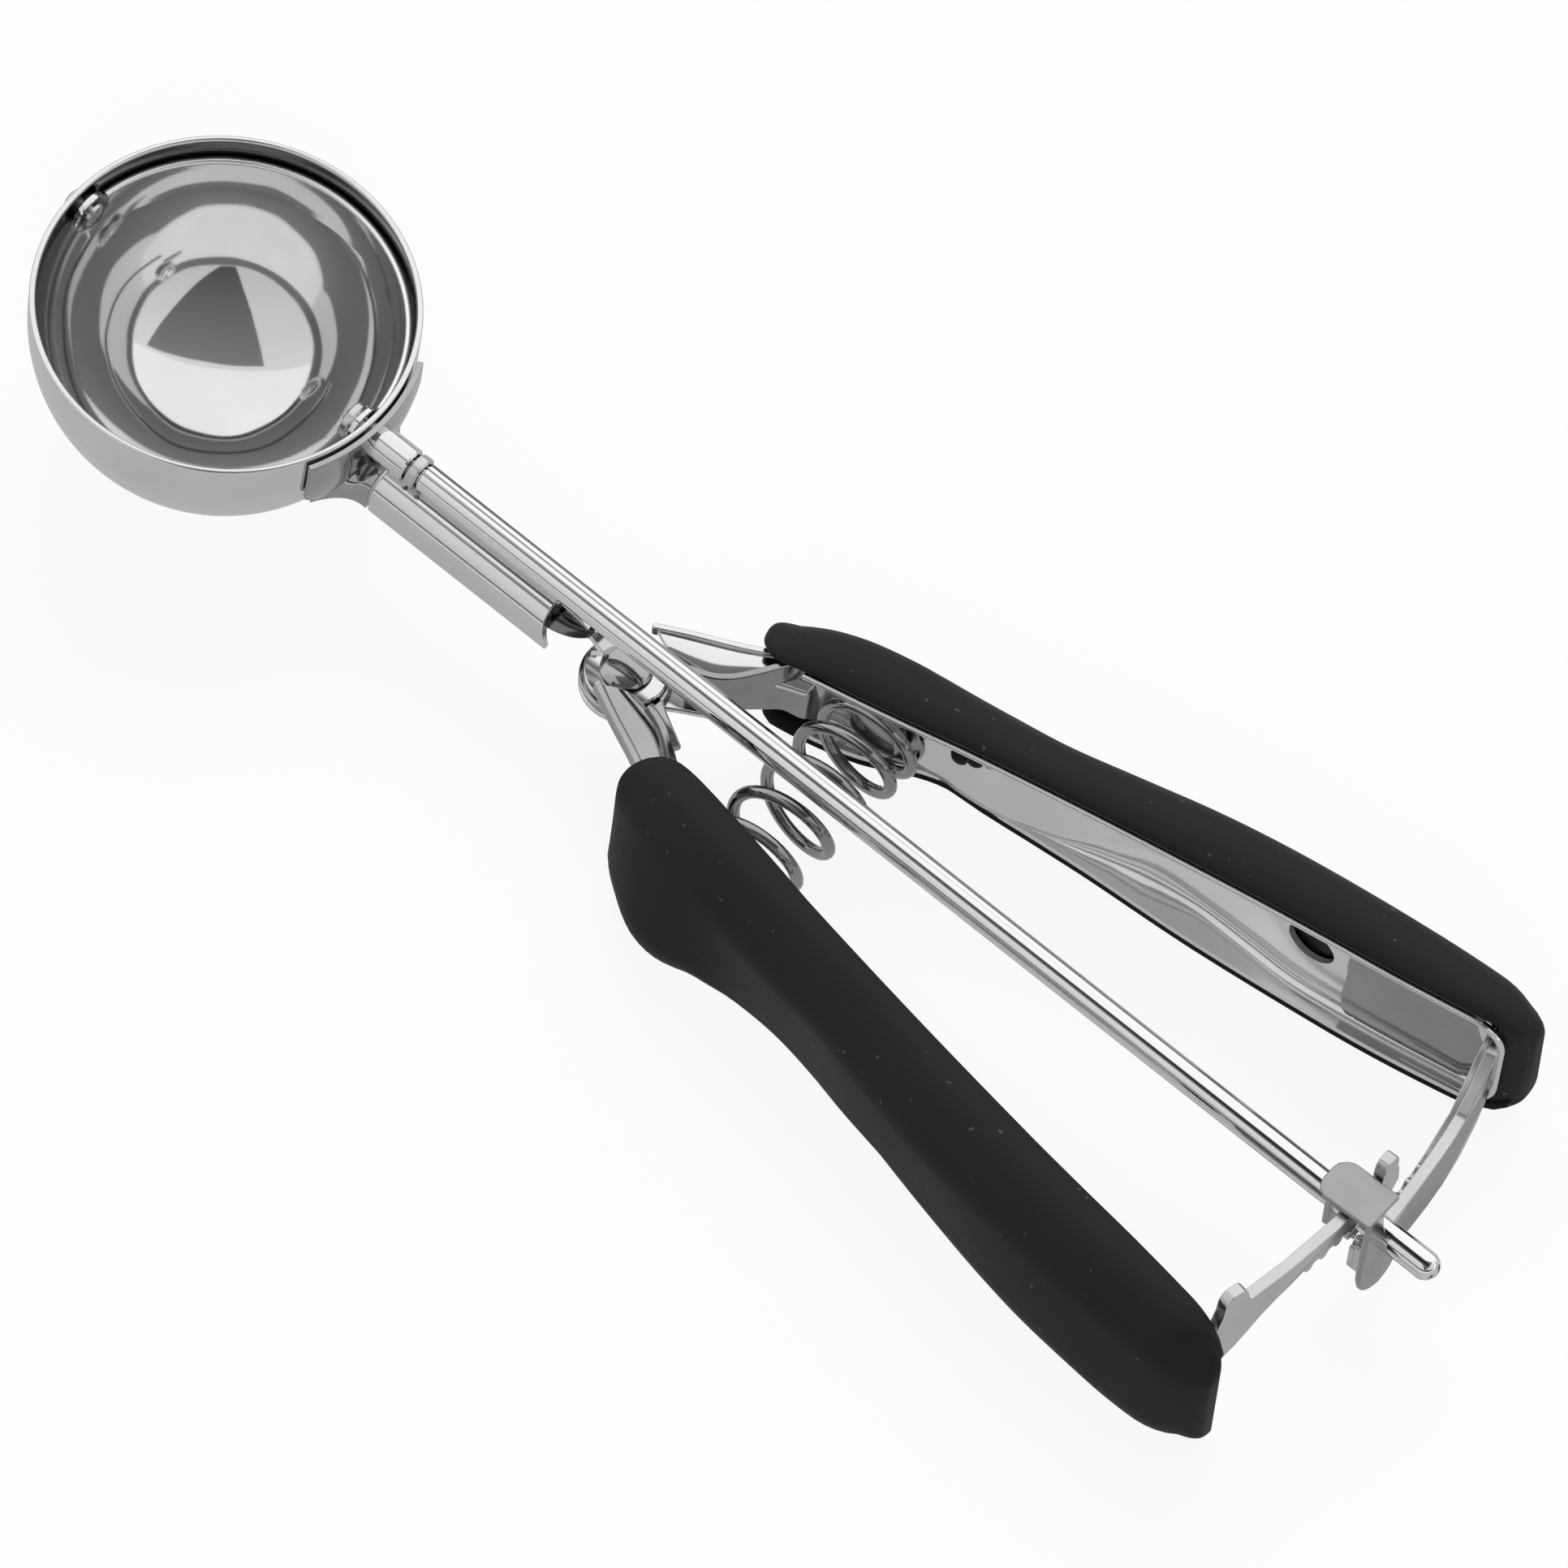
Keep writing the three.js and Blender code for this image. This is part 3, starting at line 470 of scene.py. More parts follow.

# Rounded edge of the wiper, painted near white as a highlight
EDGE_RADIUS = 0.48
EDGE_RISE = 0.3             # its middle above the blade's edge
EDGE_START = 0.14           # angle that it stops short of each tab
edge = Builder(head)
edge_middle = (wiper_outer + wiper_inner) / 2
edge_sweep = math.pi - 2 * EDGE_START
edge.loft([[((edge_middle + r) * math.cos(a), (edge_middle + r) * math.sin(a), z)
            for r, z in full_circle((0, EDGE_RISE), EDGE_RADIUS, 12)]
           for a in (EDGE_START + edge_sweep * i / BLADE_STEPS for i in range(BLADE_STEPS + 1))])
edge.piece("wiper_edge", "wiper_shaft", "mirror_steel", highlight_steel, [])

# Pin opposite the rod, with a head on each side of the wall
FAR_PIN_RADIUS = 1.1
far_pin = Builder(head)
head_out = -BOWL_RADIUS - GAP
head_in = GAP - tab_inner
far_pin.lathe([(0, head_out - 1), (FAR_PIN_RADIUS, head_out - 0.9), (1.8, head_out - 0.5), (2.0, head_out),
               (FAR_PIN_RADIUS, head_out), (FAR_PIN_RADIUS, head_in), (1.9, head_in),
               (1.8, head_in + 0.4), (1.0, head_in + 0.7), (0, head_in + 0.75)],
              about=lying, sides=32)
far_pin.piece("far_pin", "frame", "satin_steel", satin_steel, ["wiper_far_pin"])

# Rod, bush, ring, hub and pinion
ROD_TAIL = 11.0             # rod past the rack
HUB_LENGTH = 2.0
HUB_RADIUS = 2.6
ROD_CHAMFER = 0.12
JOURNAL_CHAMFER = 0.3
TURNED_CHAMFER = 0.25
BORE_GAP = 0.2
rear_plane = PIVOT_X + RACK_RADIUS
journal_front = tab_inner - HUB_LENGTH
bush_front = inner - 0.1    # reaches just into the wall
bush_rear = bush_front + BUSH_LENGTH
ring_front = bush_rear + GAP
ring_rear = ring_front + RING_LENGTH
rod_start = ring_rear + GAP
rod_end = to_head(rear_plane + ROD_TAIL)
rod_profile = [(0, journal_front), (JOURNAL_RADIUS - JOURNAL_CHAMFER, journal_front),
               (JOURNAL_RADIUS, journal_front + JOURNAL_CHAMFER), (JOURNAL_RADIUS, rod_start),
               (ROD_RADIUS - ROD_CHAMFER, rod_start), (ROD_RADIUS, rod_start + ROD_CHAMFER)]
rod_profile += [(r, x) for x, r in arc((rod_end - ROD_RADIUS, 0), ROD_RADIUS, QUARTER, 0, 12)]
Builder(head).lathe(rod_profile, about=lying, sides=72).piece(
    "rod_bar", "wiper_shaft", "bright_steel", rod_steel, ["rod"])

ring_bore = JOURNAL_RADIUS + BORE_GAP
turned = [
    ("bush_sleeve", "frame", "front_bush", BUSH_RADIUS, JOURNAL_RADIUS + 0.25, bush_front, bush_rear),
    ("stop_ring", "wiper_shaft", "rod_stop_ring", BUSH_RADIUS - 0.05, ring_bore, ring_front, ring_rear),
    ("hub_nut", "wiper_shaft", "wiper_hub", HUB_RADIUS, ring_bore, journal_front + 0.4, tab_inner - GAP),
]
for name, body, node, outer, bore, start, end in turned:
    look = bright_steel if body == "frame" else satin_steel
    bar = round_bar(Builder(head), outer, start, end, TURNED_CHAMFER, bore, sides=56)
    bar.piece(name, body, "satin_steel", look, [node])

PINION_LENGTH = 2.2
TOOTH_FORM = ((0.08, 0), (0.2, 0.85), (0.26, 1), (0.39, 1), (0.45, 0.85), (0.57, 0))    # turn, height
tooth_points = []
for i in range(PINION_TEETH):
    for turn, out in TOOTH_FORM:
        r = PINION_TIP - (1 - out) * TOOTH_HEIGHT
        a = (i + turn) * 2 * math.pi / PINION_TEETH
        tooth_points.append((r * math.cos(a), r * math.sin(a)))
Builder(head).prism(tooth_points, to_head(rear_plane) - PINION_LENGTH, to_head(rear_plane) - GAP,
                    lambda u, v, w: (w, u, v)).piece(
    "pinion_gear", "wiper_shaft", "satin_steel", satin_steel, ["pinion"], bevel=0.12)

# Collar
COLLAR_LOW = -7.95
WING_STEPS = 24
WING_ROWS = 12
WING_LIFT = 3.2             # how far a wing's lower corner rises
WING_CORNER = 0.55          # where along the wing it starts to rise
FUNNEL_STEPS = 12
FUNNEL_SUNK = 3.2           # how far it reaches under the wings
FUNNEL_FLARE = 4.6
FUNNEL_DIP = 0.9
collar_inner = BOWL_RADIUS + GAP
collar_outer = collar_inner + COLLAR_SHEET
shank_front = collar_outer + 2.6
shank_top = -ROD_RADIUS - 0.7
shank_low = shank_top - SHANK_HEIGHT
collar_high = AXIS_DROP - 0.6
collar = Builder(head)


def wing_point(azimuth, z, radius):
    """A point on the wing: plumb above the axis, on a ball below it."""
    r = radius if z >= 0 else math.sqrt(radius ** 2 - z ** 2)
    return (r * math.cos(azimuth), r * math.sin(azimuth), z)


wing_rows = []
for i in range(WING_STEPS + 1):
    azimuth = COLLAR_HALF_ANGLE * (2 * i / WING_STEPS - 1)
    outward = abs(2 * i / WING_STEPS - 1)
    low = COLLAR_LOW + WING_LIFT * max(0.0, (outward - WING_CORNER) / (1 - WING_CORNER)) ** 2
    heights = [low + (collar_high - low) * k / WING_ROWS for k in range(WING_ROWS + 1)]
    ring = [wing_point(azimuth, z, collar_outer) for z in heights]
    ring += [wing_point(azimuth, z, collar_inner) for z in reversed(heights)]
    wing_rows.append(ring)
collar.loft(wing_rows)


def arch(half_width, top, low, crown, sheet, steps=14):
    """An upside-down channel: legs, rounded shoulders and a crown, with its inside."""
    outside = [(-half_width, low)]
    for y, z in arc((0, 0), 1, math.pi, 0, steps):
        flat = math.copysign(abs(y) ** 0.8, y)
        outside.append((flat * half_width, top - crown + z * crown))
    outside.append((half_width, low))
    inside = []
    for y, z in outside:
        inside.append((y * (1 - sheet / half_width), z if z == low else z - sheet))
    return outside + inside[::-1]


funnel = []
funnel_front = collar_outer - FUNNEL_SUNK
for i in range(FUNNEL_STEPS + 1):
    t = i / FUNNEL_STEPS
    x = funnel_front + (shank_front - GAP - funnel_front) * t
    half_width = SHANK_HALF_WIDTH + FUNNEL_FLARE * (1 - t) ** 2.4
    dip = FUNNEL_DIP * math.sin(math.pi * min(1, t * 1.15)) ** 2
    section = arch(half_width, shank_top - dip, shank_low + 0.6 * (1 - t), SHANK_CROWN, SHANK_SHEET)
    funnel.append([(x, y, z) for y, z in section])
collar.loft(funnel)
# The collar takes the darker copy of the steel as painted shade
collar.piece("collar_sheet", "frame", "mirror_steel", shaded_steel, ["collar"], bevel=0.12)

# Shank and tongue
END_SLANT = 1.6             # how far the top of the end is cut back
SLANT_LENGTH = 2.5
TONGUE_NEAR, TONGUE_FAR = -0.4, 3.8
shank = Builder(head)
section = arch(SHANK_HALF_WIDTH, shank_top, shank_low, SHANK_CROWN, SHANK_SHEET)
shank_rear = to_head(SHANK_END)
shank_rows = []
for x in (shank_front, shank_front + 0.2, shank_rear - SLANT_LENGTH, shank_rear - 1.2, shank_rear):
    past = max(0.0, (x - shank_rear + SLANT_LENGTH) / SLANT_LENGTH)
    shank_rows.append([(x - past * END_SLANT * (z - shank_low) / SHANK_HEIGHT, y, z) for y, z in section])
shank.loft(shank_rows)
crown = axis_height(SHANK_END) + shank_top - 0.15
tongue_top = TONGUE_BOTTOM + EAR_SHEET
to_table = head.inverted() @ table


def in_head(x, y, z):
    """A table point for a piece that is built in the head's frame."""
    return to_table @ Vector((x, y, z))


bend_line = smooth_line([
    (SHANK_END - 4, crown - 1.4), (SHANK_END, crown - 1.6), (SHANK_END + 2.6, crown - 2.6),
    (SHANK_END + 4.6, TONGUE_BOTTOM + 1.7), (SHANK_END + 6.4, TONGUE_BOTTOM + 0.5),
    (PIVOT_X, TONGUE_BOTTOM + 0.5)], 30)
shank.prism(strip(bend_line, EAR_SHEET), TONGUE_NEAR, TONGUE_FAR, lambda u, v, w: in_head(u, w, v))
shank.prism(full_circle((PIVOT_X, 0), EAR_RADIUS - 0.6, 48), TONGUE_BOTTOM, tongue_top, in_head)
shank.piece("shank_sheet", "frame", "bright_steel", bright_steel, ["shank"], bevel=0.18)

# Hollow side of the shank under the tongue, painted dark inside as shade
MOUTH_REACH = 3.6           # how far it runs on past the end
MOUTH_SUNK = 3.0            # and how far it reaches in
MOUTH_HALF = 3.3
MOUTH_FAR = 0.3
MOUTH_RISE = 3.0
MOUTH_STEPS = 16
MOUTH_ROWS = 6
WALL_HALF = 0.35
far_wall = Builder()
wall_low = axis_height(SHANK_END) + shank_low
wall = soften([
    (SHANK_END - 6, wall_low + 0.3), (SHANK_END + 0.6, wall_low), (SHANK_END + 2.6, wall_low + 1.4),
    (SHANK_END + 4.4, crown - 3.6), (SHANK_END + 4.4, crown - 3.0), (SHANK_END + 2.4, crown - 2.4),
    (SHANK_END - 6, crown - 1.8)], 0.8)
far_wall.prism(wall, -WALL_HALF, WALL_HALF, lambda u, v, w: (u, w, v))
mouth_rows = []
mouth_foot, mouth_end, mouth_top = wall_low + MOUTH_RISE, crown - 2.8, crown - 2.2
for i in range(MOUTH_STEPS + 1):
    past = i / MOUTH_STEPS
    x = SHANK_END - MOUTH_SUNK + (MOUTH_SUNK + MOUTH_REACH) * past
    near = -MOUTH_HALF * math.sqrt(1.02 - past * past)
    foot = mouth_foot + (mouth_end - mouth_foot) * past * past
    upper, under = [], []
    for k in range(MOUTH_ROWS + 1):
        y = near + (MOUTH_FAR - near) * k / MOUTH_ROWS
        z = foot + (mouth_top - foot) * math.sin(QUARTER * k / MOUTH_ROWS)
        upper.append((x, y, z))
        under.append((x, y + 0.2, z - 0.4))
    mouth_rows.append(upper + under[::-1])
far_wall.loft(mouth_rows)
far_wall.piece("shank_inside", "frame", "bright_steel", painted_dark_steel, [], bevel=0.15)

# Pivot stack
WASHER_RADIUS, WASHER_SHEET = 4.6, 0.9
FOOT_RADIUS, FOOT_HEIGHT = 3.4, 1.1
STACK_CHAMFER = 0.15
RIVET_DOME = (
    (3.3, 0), (3.4, 0.15), (3.35, 0.4), (3.0, 0.75), (2.3, 1.08), (1.4, 1.32), (0.6, 1.43), (0, 1.45))
left_ear = TONGUE_BOTTOM - STACK_GAP - EAR_SHEET
right_ear = left_ear - STACK_GAP - EAR_SHEET
washer_bottom = right_ear - STACK_GAP - WASHER_SHEET
foot_bottom = washer_bottom - STACK_GAP - FOOT_HEIGHT
rivet_low = tongue_top + GAP
stem_low = foot_bottom - 0.2
rivet_profile = [(0, stem_low), (PIVOT_STEM, stem_low), (PIVOT_STEM, rivet_low)]
rivet_profile += [(radius, rivet_low + rise) for radius, rise in RIVET_DOME]
rivet = Builder().lathe(rivet_profile, at=(PIVOT_X, 0, 0))
# The rivet takes the darker copy of the steel as painted shade
rivet.piece("rivet", "frame", "bright_steel", shaded_steel, ["pivot_rivet"])
discs = [
    ("washer", "pivot_washer", WASHER_RADIUS, washer_bottom, WASHER_SHEET),
    ("rivet_foot", "pivot_rivet_foot", FOOT_RADIUS, foot_bottom, FOOT_HEIGHT),
]
for name, node, radius, low, height in discs:
    bore, high, face = PIVOT_STEM + BORE_GAP, low + height, radius - STACK_CHAMFER
    disc = Builder().lathe([
        (bore, low), (face, low), (radius, low + STACK_CHAMFER), (radius, high - STACK_CHAMFER), (face, high),
        (bore, high), (bore, low)], at=(PIVOT_X, 0, 0))
    disc.piece(name, "frame", "satin_steel", satin_steel, [node])

# Handles
lip_line = through([
    (78.7, 13.7), (79.2, 12.9), (80, 12), (81.2, 11.1), (83, 10.6), (85.5, 10.8), (90, 11.7), (96, 12.9),
    (103, 14.4), (110, 16), (130, 19.8), (150, 23.2), (160, 24.7), (170, 26.1), (182, 28.1), (186, 28.9),
    (187.8, 29.5), (189, 30.2)])
low_lip_line = through([
    (78.7, 13.9), (80, 13.2), (81.2, 12.8), (88, 14), (94, 15.8), (99, 18.4), (104, 20.2), (111, 20.6),
    (118, 21.2), (126, 21.8), (142, 22.6), (160, 24.3), (170, 25.6), (182, 27.8), (186, 28.8), (187.8, 29.5),
    (189, 30.2)])
out_top_line = through([
    (78.7, 15.6), (79.2, 16.6), (80.2, 17.6), (82, 18.6), (84.5, 19.7), (88, 20.9), (92, 22), (97, 23),
    (104, 23.9), (111, 24.9), (118.4, 26.1), (128, 28.5), (138, 31), (148, 32.9), (159, 34.4), (170, 35.5),
    (178, 36), (183, 36.1), (186, 36), (189, 35.8)])
out_low_line = through([
    (78.7, 16.2), (80.2, 18.6), (82.6, 21), (88.7, 25), (93, 26), (97, 25.3), (100, 24), (104, 22.5),
    (111, 22.8), (118, 24.4), (126, 27), (142, 31.4), (158, 35), (172, 36.7), (178, 37), (183, 36.8),
    (186, 36.5), (189, 36.2)])
CORNER_STEPS = 9
NOSE_DROP = 2.8
NOSE_REAR = 91.0
NOSE_LENGTH = 12.3
# At a fully rounded end: rise of the bottom, fall of the top, tuck of the lips and pull of the side
REAR_SHRINK = (4.2, 5.0, 2.0, 3.2)
FRONT_SHRINK = (3.8, 2.8, 0.6, 0.6)


def rounding(part):
    """Quarter-round fall from 0 to 1."""
    return 1 - math.sqrt(1 - min(1.0, max(0.0, part)) ** 2)


def ease(x, start, length):
    """0 up to start, 1 past its length, and smooth between."""
    t = min(1.0, max(0.0, (x - start) / length))
    return t * t * (3 - 2 * t)


def end_shrink(x):
    """How far the ends of the grip are rounded off at x."""
    rear = rounding((x - GRIP_REAR + REAR_ROUND) / REAR_ROUND)
    front = rounding((GRIP_FRONT + FRONT_ROUND - x) / FRONT_ROUND)
    return max(rear, 0.5 * front)


def nose_drop(x):
    """How far the top of the grip slopes down towards its nose."""
    return NOSE_DROP * max(0.0, (NOSE_REAR - x) / NOSE_LENGTH) ** 2


def half_section(x, side, lip, shrink=0.0, proud=0.0, least=0.3):
    """Outer line of the handle at x from the bottom lip round to the top lip, set in by side and lip."""
    shares = REAR_SHRINK if x > CORE_FRONT else FRONT_SHRINK
    rise, fall, tuck, pull = [shrink * share for share in shares]
    z0 = lip + rise
    z1 = HANDLE_HEIGHT - lip - fall - nose_drop(x)
    y0 = lip_line(x) + tuck
    out_top = out_top_line(x) - side - pull
    out_low = out_low_line(x) - side - pull
    corner = max(1.0, min(CORNER, out_low_line(x) - low_lip_line(x) - 0.4))
    r_top = max(0.2, min(max(least, CORNER - side), out_top - y0 - 0.3, (z1 - z0) / 2 - 0.5))
    r_low = max(least, min(corner - side, (z1 - z0) / 2 - 0.5))
    if out_low - r_low < low_lip_line(x):
        r_low = max(0.2, out_low - low_lip_line(x) - tuck)
    in_low = min(low_lip_line(x) + tuck - proud, out_low - r_low - 0.1)
    lean = math.atan2(out_low - out_top, z1 - z0 - r_top - r_low)
    line = [(in_low, z0)]
    line += arc((out_low - r_low, z0 + r_low), r_low, -QUARTER, lean, CORNER_STEPS)
    line += arc((out_top - r_top, z1 - r_top), r_top, lean, QUARTER, CORNER_STEPS)
    line.append((y0 - proud, z1))
    return line


def rounded_lip(outer_end, inner_end, steps=4):
    """Half-round edge that joins the outer and inner lines of a lip."""
    (y0, z0), (y1, z1) = outer_end, inner_end
    points = []
    for i in range(1, steps):
        t = i / steps
        out = math.sin(math.pi * t) * abs(z1 - z0) * 0.45
        points.append((y0 + (y1 - y0) * t - out, z0 + (z1 - z0) * t))
    return points


def shell_ring(x, side, lip, wall, roof, shrink=0.0, proud=0.0, rounded=False, least=0.3):
    """A closed C-shaped section: outer line, top lip, inner line, bottom lip."""
    outside = half_section(x, side, lip, shrink, proud, least)
    inside = half_section(x, side + wall, lip + roof, shrink, proud, least)
    top = rounded_lip(outside[-1], inside[-1]) if rounded else []
    low = rounded_lip(inside[0], outside[0]) if rounded else []
    return [(x, y, z) for y, z in outside + top + inside[::-1] + low]


def steps_between(start, end, count, extra=()):
    places = [start + (end - start) * i / count for i in range(count + 1)]
    return sorted(set(places + list(extra)))


core_side = GRIP_WALL + GAP
core_lip = GRIP_LIP + GAP
core_rear = GRIP_REAR - GRIP_END - GAP
grip_inside = GRIP_REAR - GRIP_END
rack_mid = axis_height(rear_plane)
rack_front = RACK_RADIUS - RACK_SHEET / 2
rack_rear = RACK_RADIUS + RACK_SHEET / 2
# Depth of the channel's web behind the lip of the grip, which lessens towards the rear
web_depth = through([
    (87, 5.6), (120, 6.2), (134, 6.4), (141, 5.9), (148, 4.6), (155, 3.3), (162, 2.9), (189, 2.9)])
GRIP_STEPS = 80
NUBS = ((105.3, 8.8), (107.4, 10), (109.6, 11.6))
NUB_RADIUS = 1.5
CHANNEL_STEPS = 60
CHANNEL_PROUD = 0.7         # how far its lips stand out of the grip
CHANNEL_CORNER = 2.2        # least radius of its corners
WINDOW_X, WINDOW_Z = 157.0, 13.2
WINDOW_LONG, WINDOW_TALL = 3.5, 3.4
WINDOW_NEAR, WINDOW_FAR = 24.0, 38.0
LINING_MARGIN = 0.7
LINING_SHEET = 1.6
RIM_TURN = 4.5              # radius of the rim where it turns down at the rear
RIM_INSET = 0.45
RIM_TALL, RIM_WIDE = 0.5, 0.55
NECK_STEPS = 30
PLATE_ROWS = 8
PLATE_CROWN = 1.1
PLATE_EDGE = 0.9
NECK_ARM = 5.0              # width of the arm from the ear to the neck
BASE_DEPTH = 1.5            # base plate of the rack behind the lip
BASE_SHEET = 1.0
BASE_LOW, BASE_HIGH = 2.9, 18.8
RACK_ROOT = 29.6            # where the arm joins its base plate, along the arm
SEAT_CUP = 4.2
SEAT_STEM = 2.4
SEAT_SHEET = 0.9
neck_line = smooth_line([
    (73.9, 3.6), (77.6, 5.2), (82.4, 9.2), (85.2, 12.2), (86.2, 14.4), (87.0, 16.8), (87.5, 18.4)],
    NECK_STEPS)
plate_in = smooth_line([(71.4, 3.4), (74.4, 4.0), (77.6, 5.2), (82.4, 9.0), (87.4, 11.2)], NECK_STEPS)
plate_out = smooth_line([(66.4, 5.9), (70.8, 8.2), (77.9, 11.6), (83.4, 14.9), (88.4, 18.4)], NECK_STEPS)


def neck_top(x):
    """Height of the neck's top edge, which climbs to the top flange of the channel."""
    return NECK_TOP + (HANDLE_HEIGHT - core_lip - NECK_TOP) * ease(x, start=77.5, length=9.5)


def neck_low(x):
    """Height of its bottom edge, which drops to the bottom flange."""
    return NECK_BOTTOM + (core_lip - NECK_BOTTOM) * ease(x, start=83.5, length=4.5)


def channel_side(x):
    """How far the channel is set in from the grip's outer line."""
    return max(core_side, out_low_line(x) - lip_line(x) - web_depth(x))


def cut(obj, cutter):
    """Cuts one mesh out of another and drops the cutter."""
    knife = obj.modifiers.new("cut", "BOOLEAN")
    knife.object = cutter
    knife.operation = "DIFFERENCE"
    knife.solver = "EXACT"
    shaped = obj.evaluated_get(bpy.context.evaluated_depsgraph_get())
    mesh = bpy.data.meshes.new_from_object(shaped)
    obj.modifiers.remove(knife)
    obj.data = mesh
    bpy.data.objects.remove(cutter)
    smooth_shade(mesh, SHARP_ANGLE)


# Outlines of the rack arms: place along the arm, height from the rod's axis towards the arm's back
upper_back = soften([
    (30.4, -3.6), (30.4, 3.2), (28, 5), (26.9, 8.7), (26.7, 11), (25.8, 12.4), (23.8, 12.4), (23, 11),
    (22.6, 8.7), (16, 8.7), (8, 8.7), (-0.5, 8.7), (-0.6, 11.4), (-1.2, 12.6), (-3.1, 12.6), (-3.7, 11.4),
    (-3.8, 8.9), (-4.5, 8.3)], 0.5)[5:-5]
lower_back = [
    (24, -1.2), (27, -3.2), (30.4, -3.6), (30.4, 3.2), (27.6, 5.4), (24, 9), (20, 11.2), (16, 12.2),
    (12, 12.4), (8, 12.4), (2, 12.4), (-1, 11.6), (-2, 9.5)]
smooth_top = [
    (-2, 3.95), (2, 3.9), (5, 3.6), (8, 3.1), (11, 2.6), (14, 2.3), (17, 2.1), (20, 1.6)]


def toothed(start, end):
    """A row of rack teeth with rounded tips."""
    low = RACK_TIP + TOOTH_HEIGHT
    points = [(start, low)]
    s = start + 0.4
    while s < end:
        points += [(s, low), (s + 0.45, RACK_TIP + 0.2), (s + 0.75, RACK_TIP), (s + 1.15, RACK_TIP)]
        points += [(s + 1.45, RACK_TIP + 0.2), (s + 1.9, low)]
        s += TOOTH_PITCH
    return points


def window_oval(margin):
    """Outline of the channel's window, made larger by margin."""
    long, tall = WINDOW_LONG + margin, WINDOW_TALL + margin
    return [(WINDOW_X + long * x, WINDOW_Z + tall * z) for x, z in full_circle((0, 0), 1, 32)]


def upright_strip(line, thickness, low, high):
    """Rings of a strip on edge along a plan line; low and high give its heights at each x."""
    outline = strip(line, thickness)
    rows = []
    for i, (x, _) in enumerate(line):
        (ax, ay), (bx, by) = outline[i], outline[-1 - i]
        rows.append([(ax, ay, low(x)), (bx, by, low(x)), (bx, by, high(x)), (ax, ay, high(x))])
    return rows


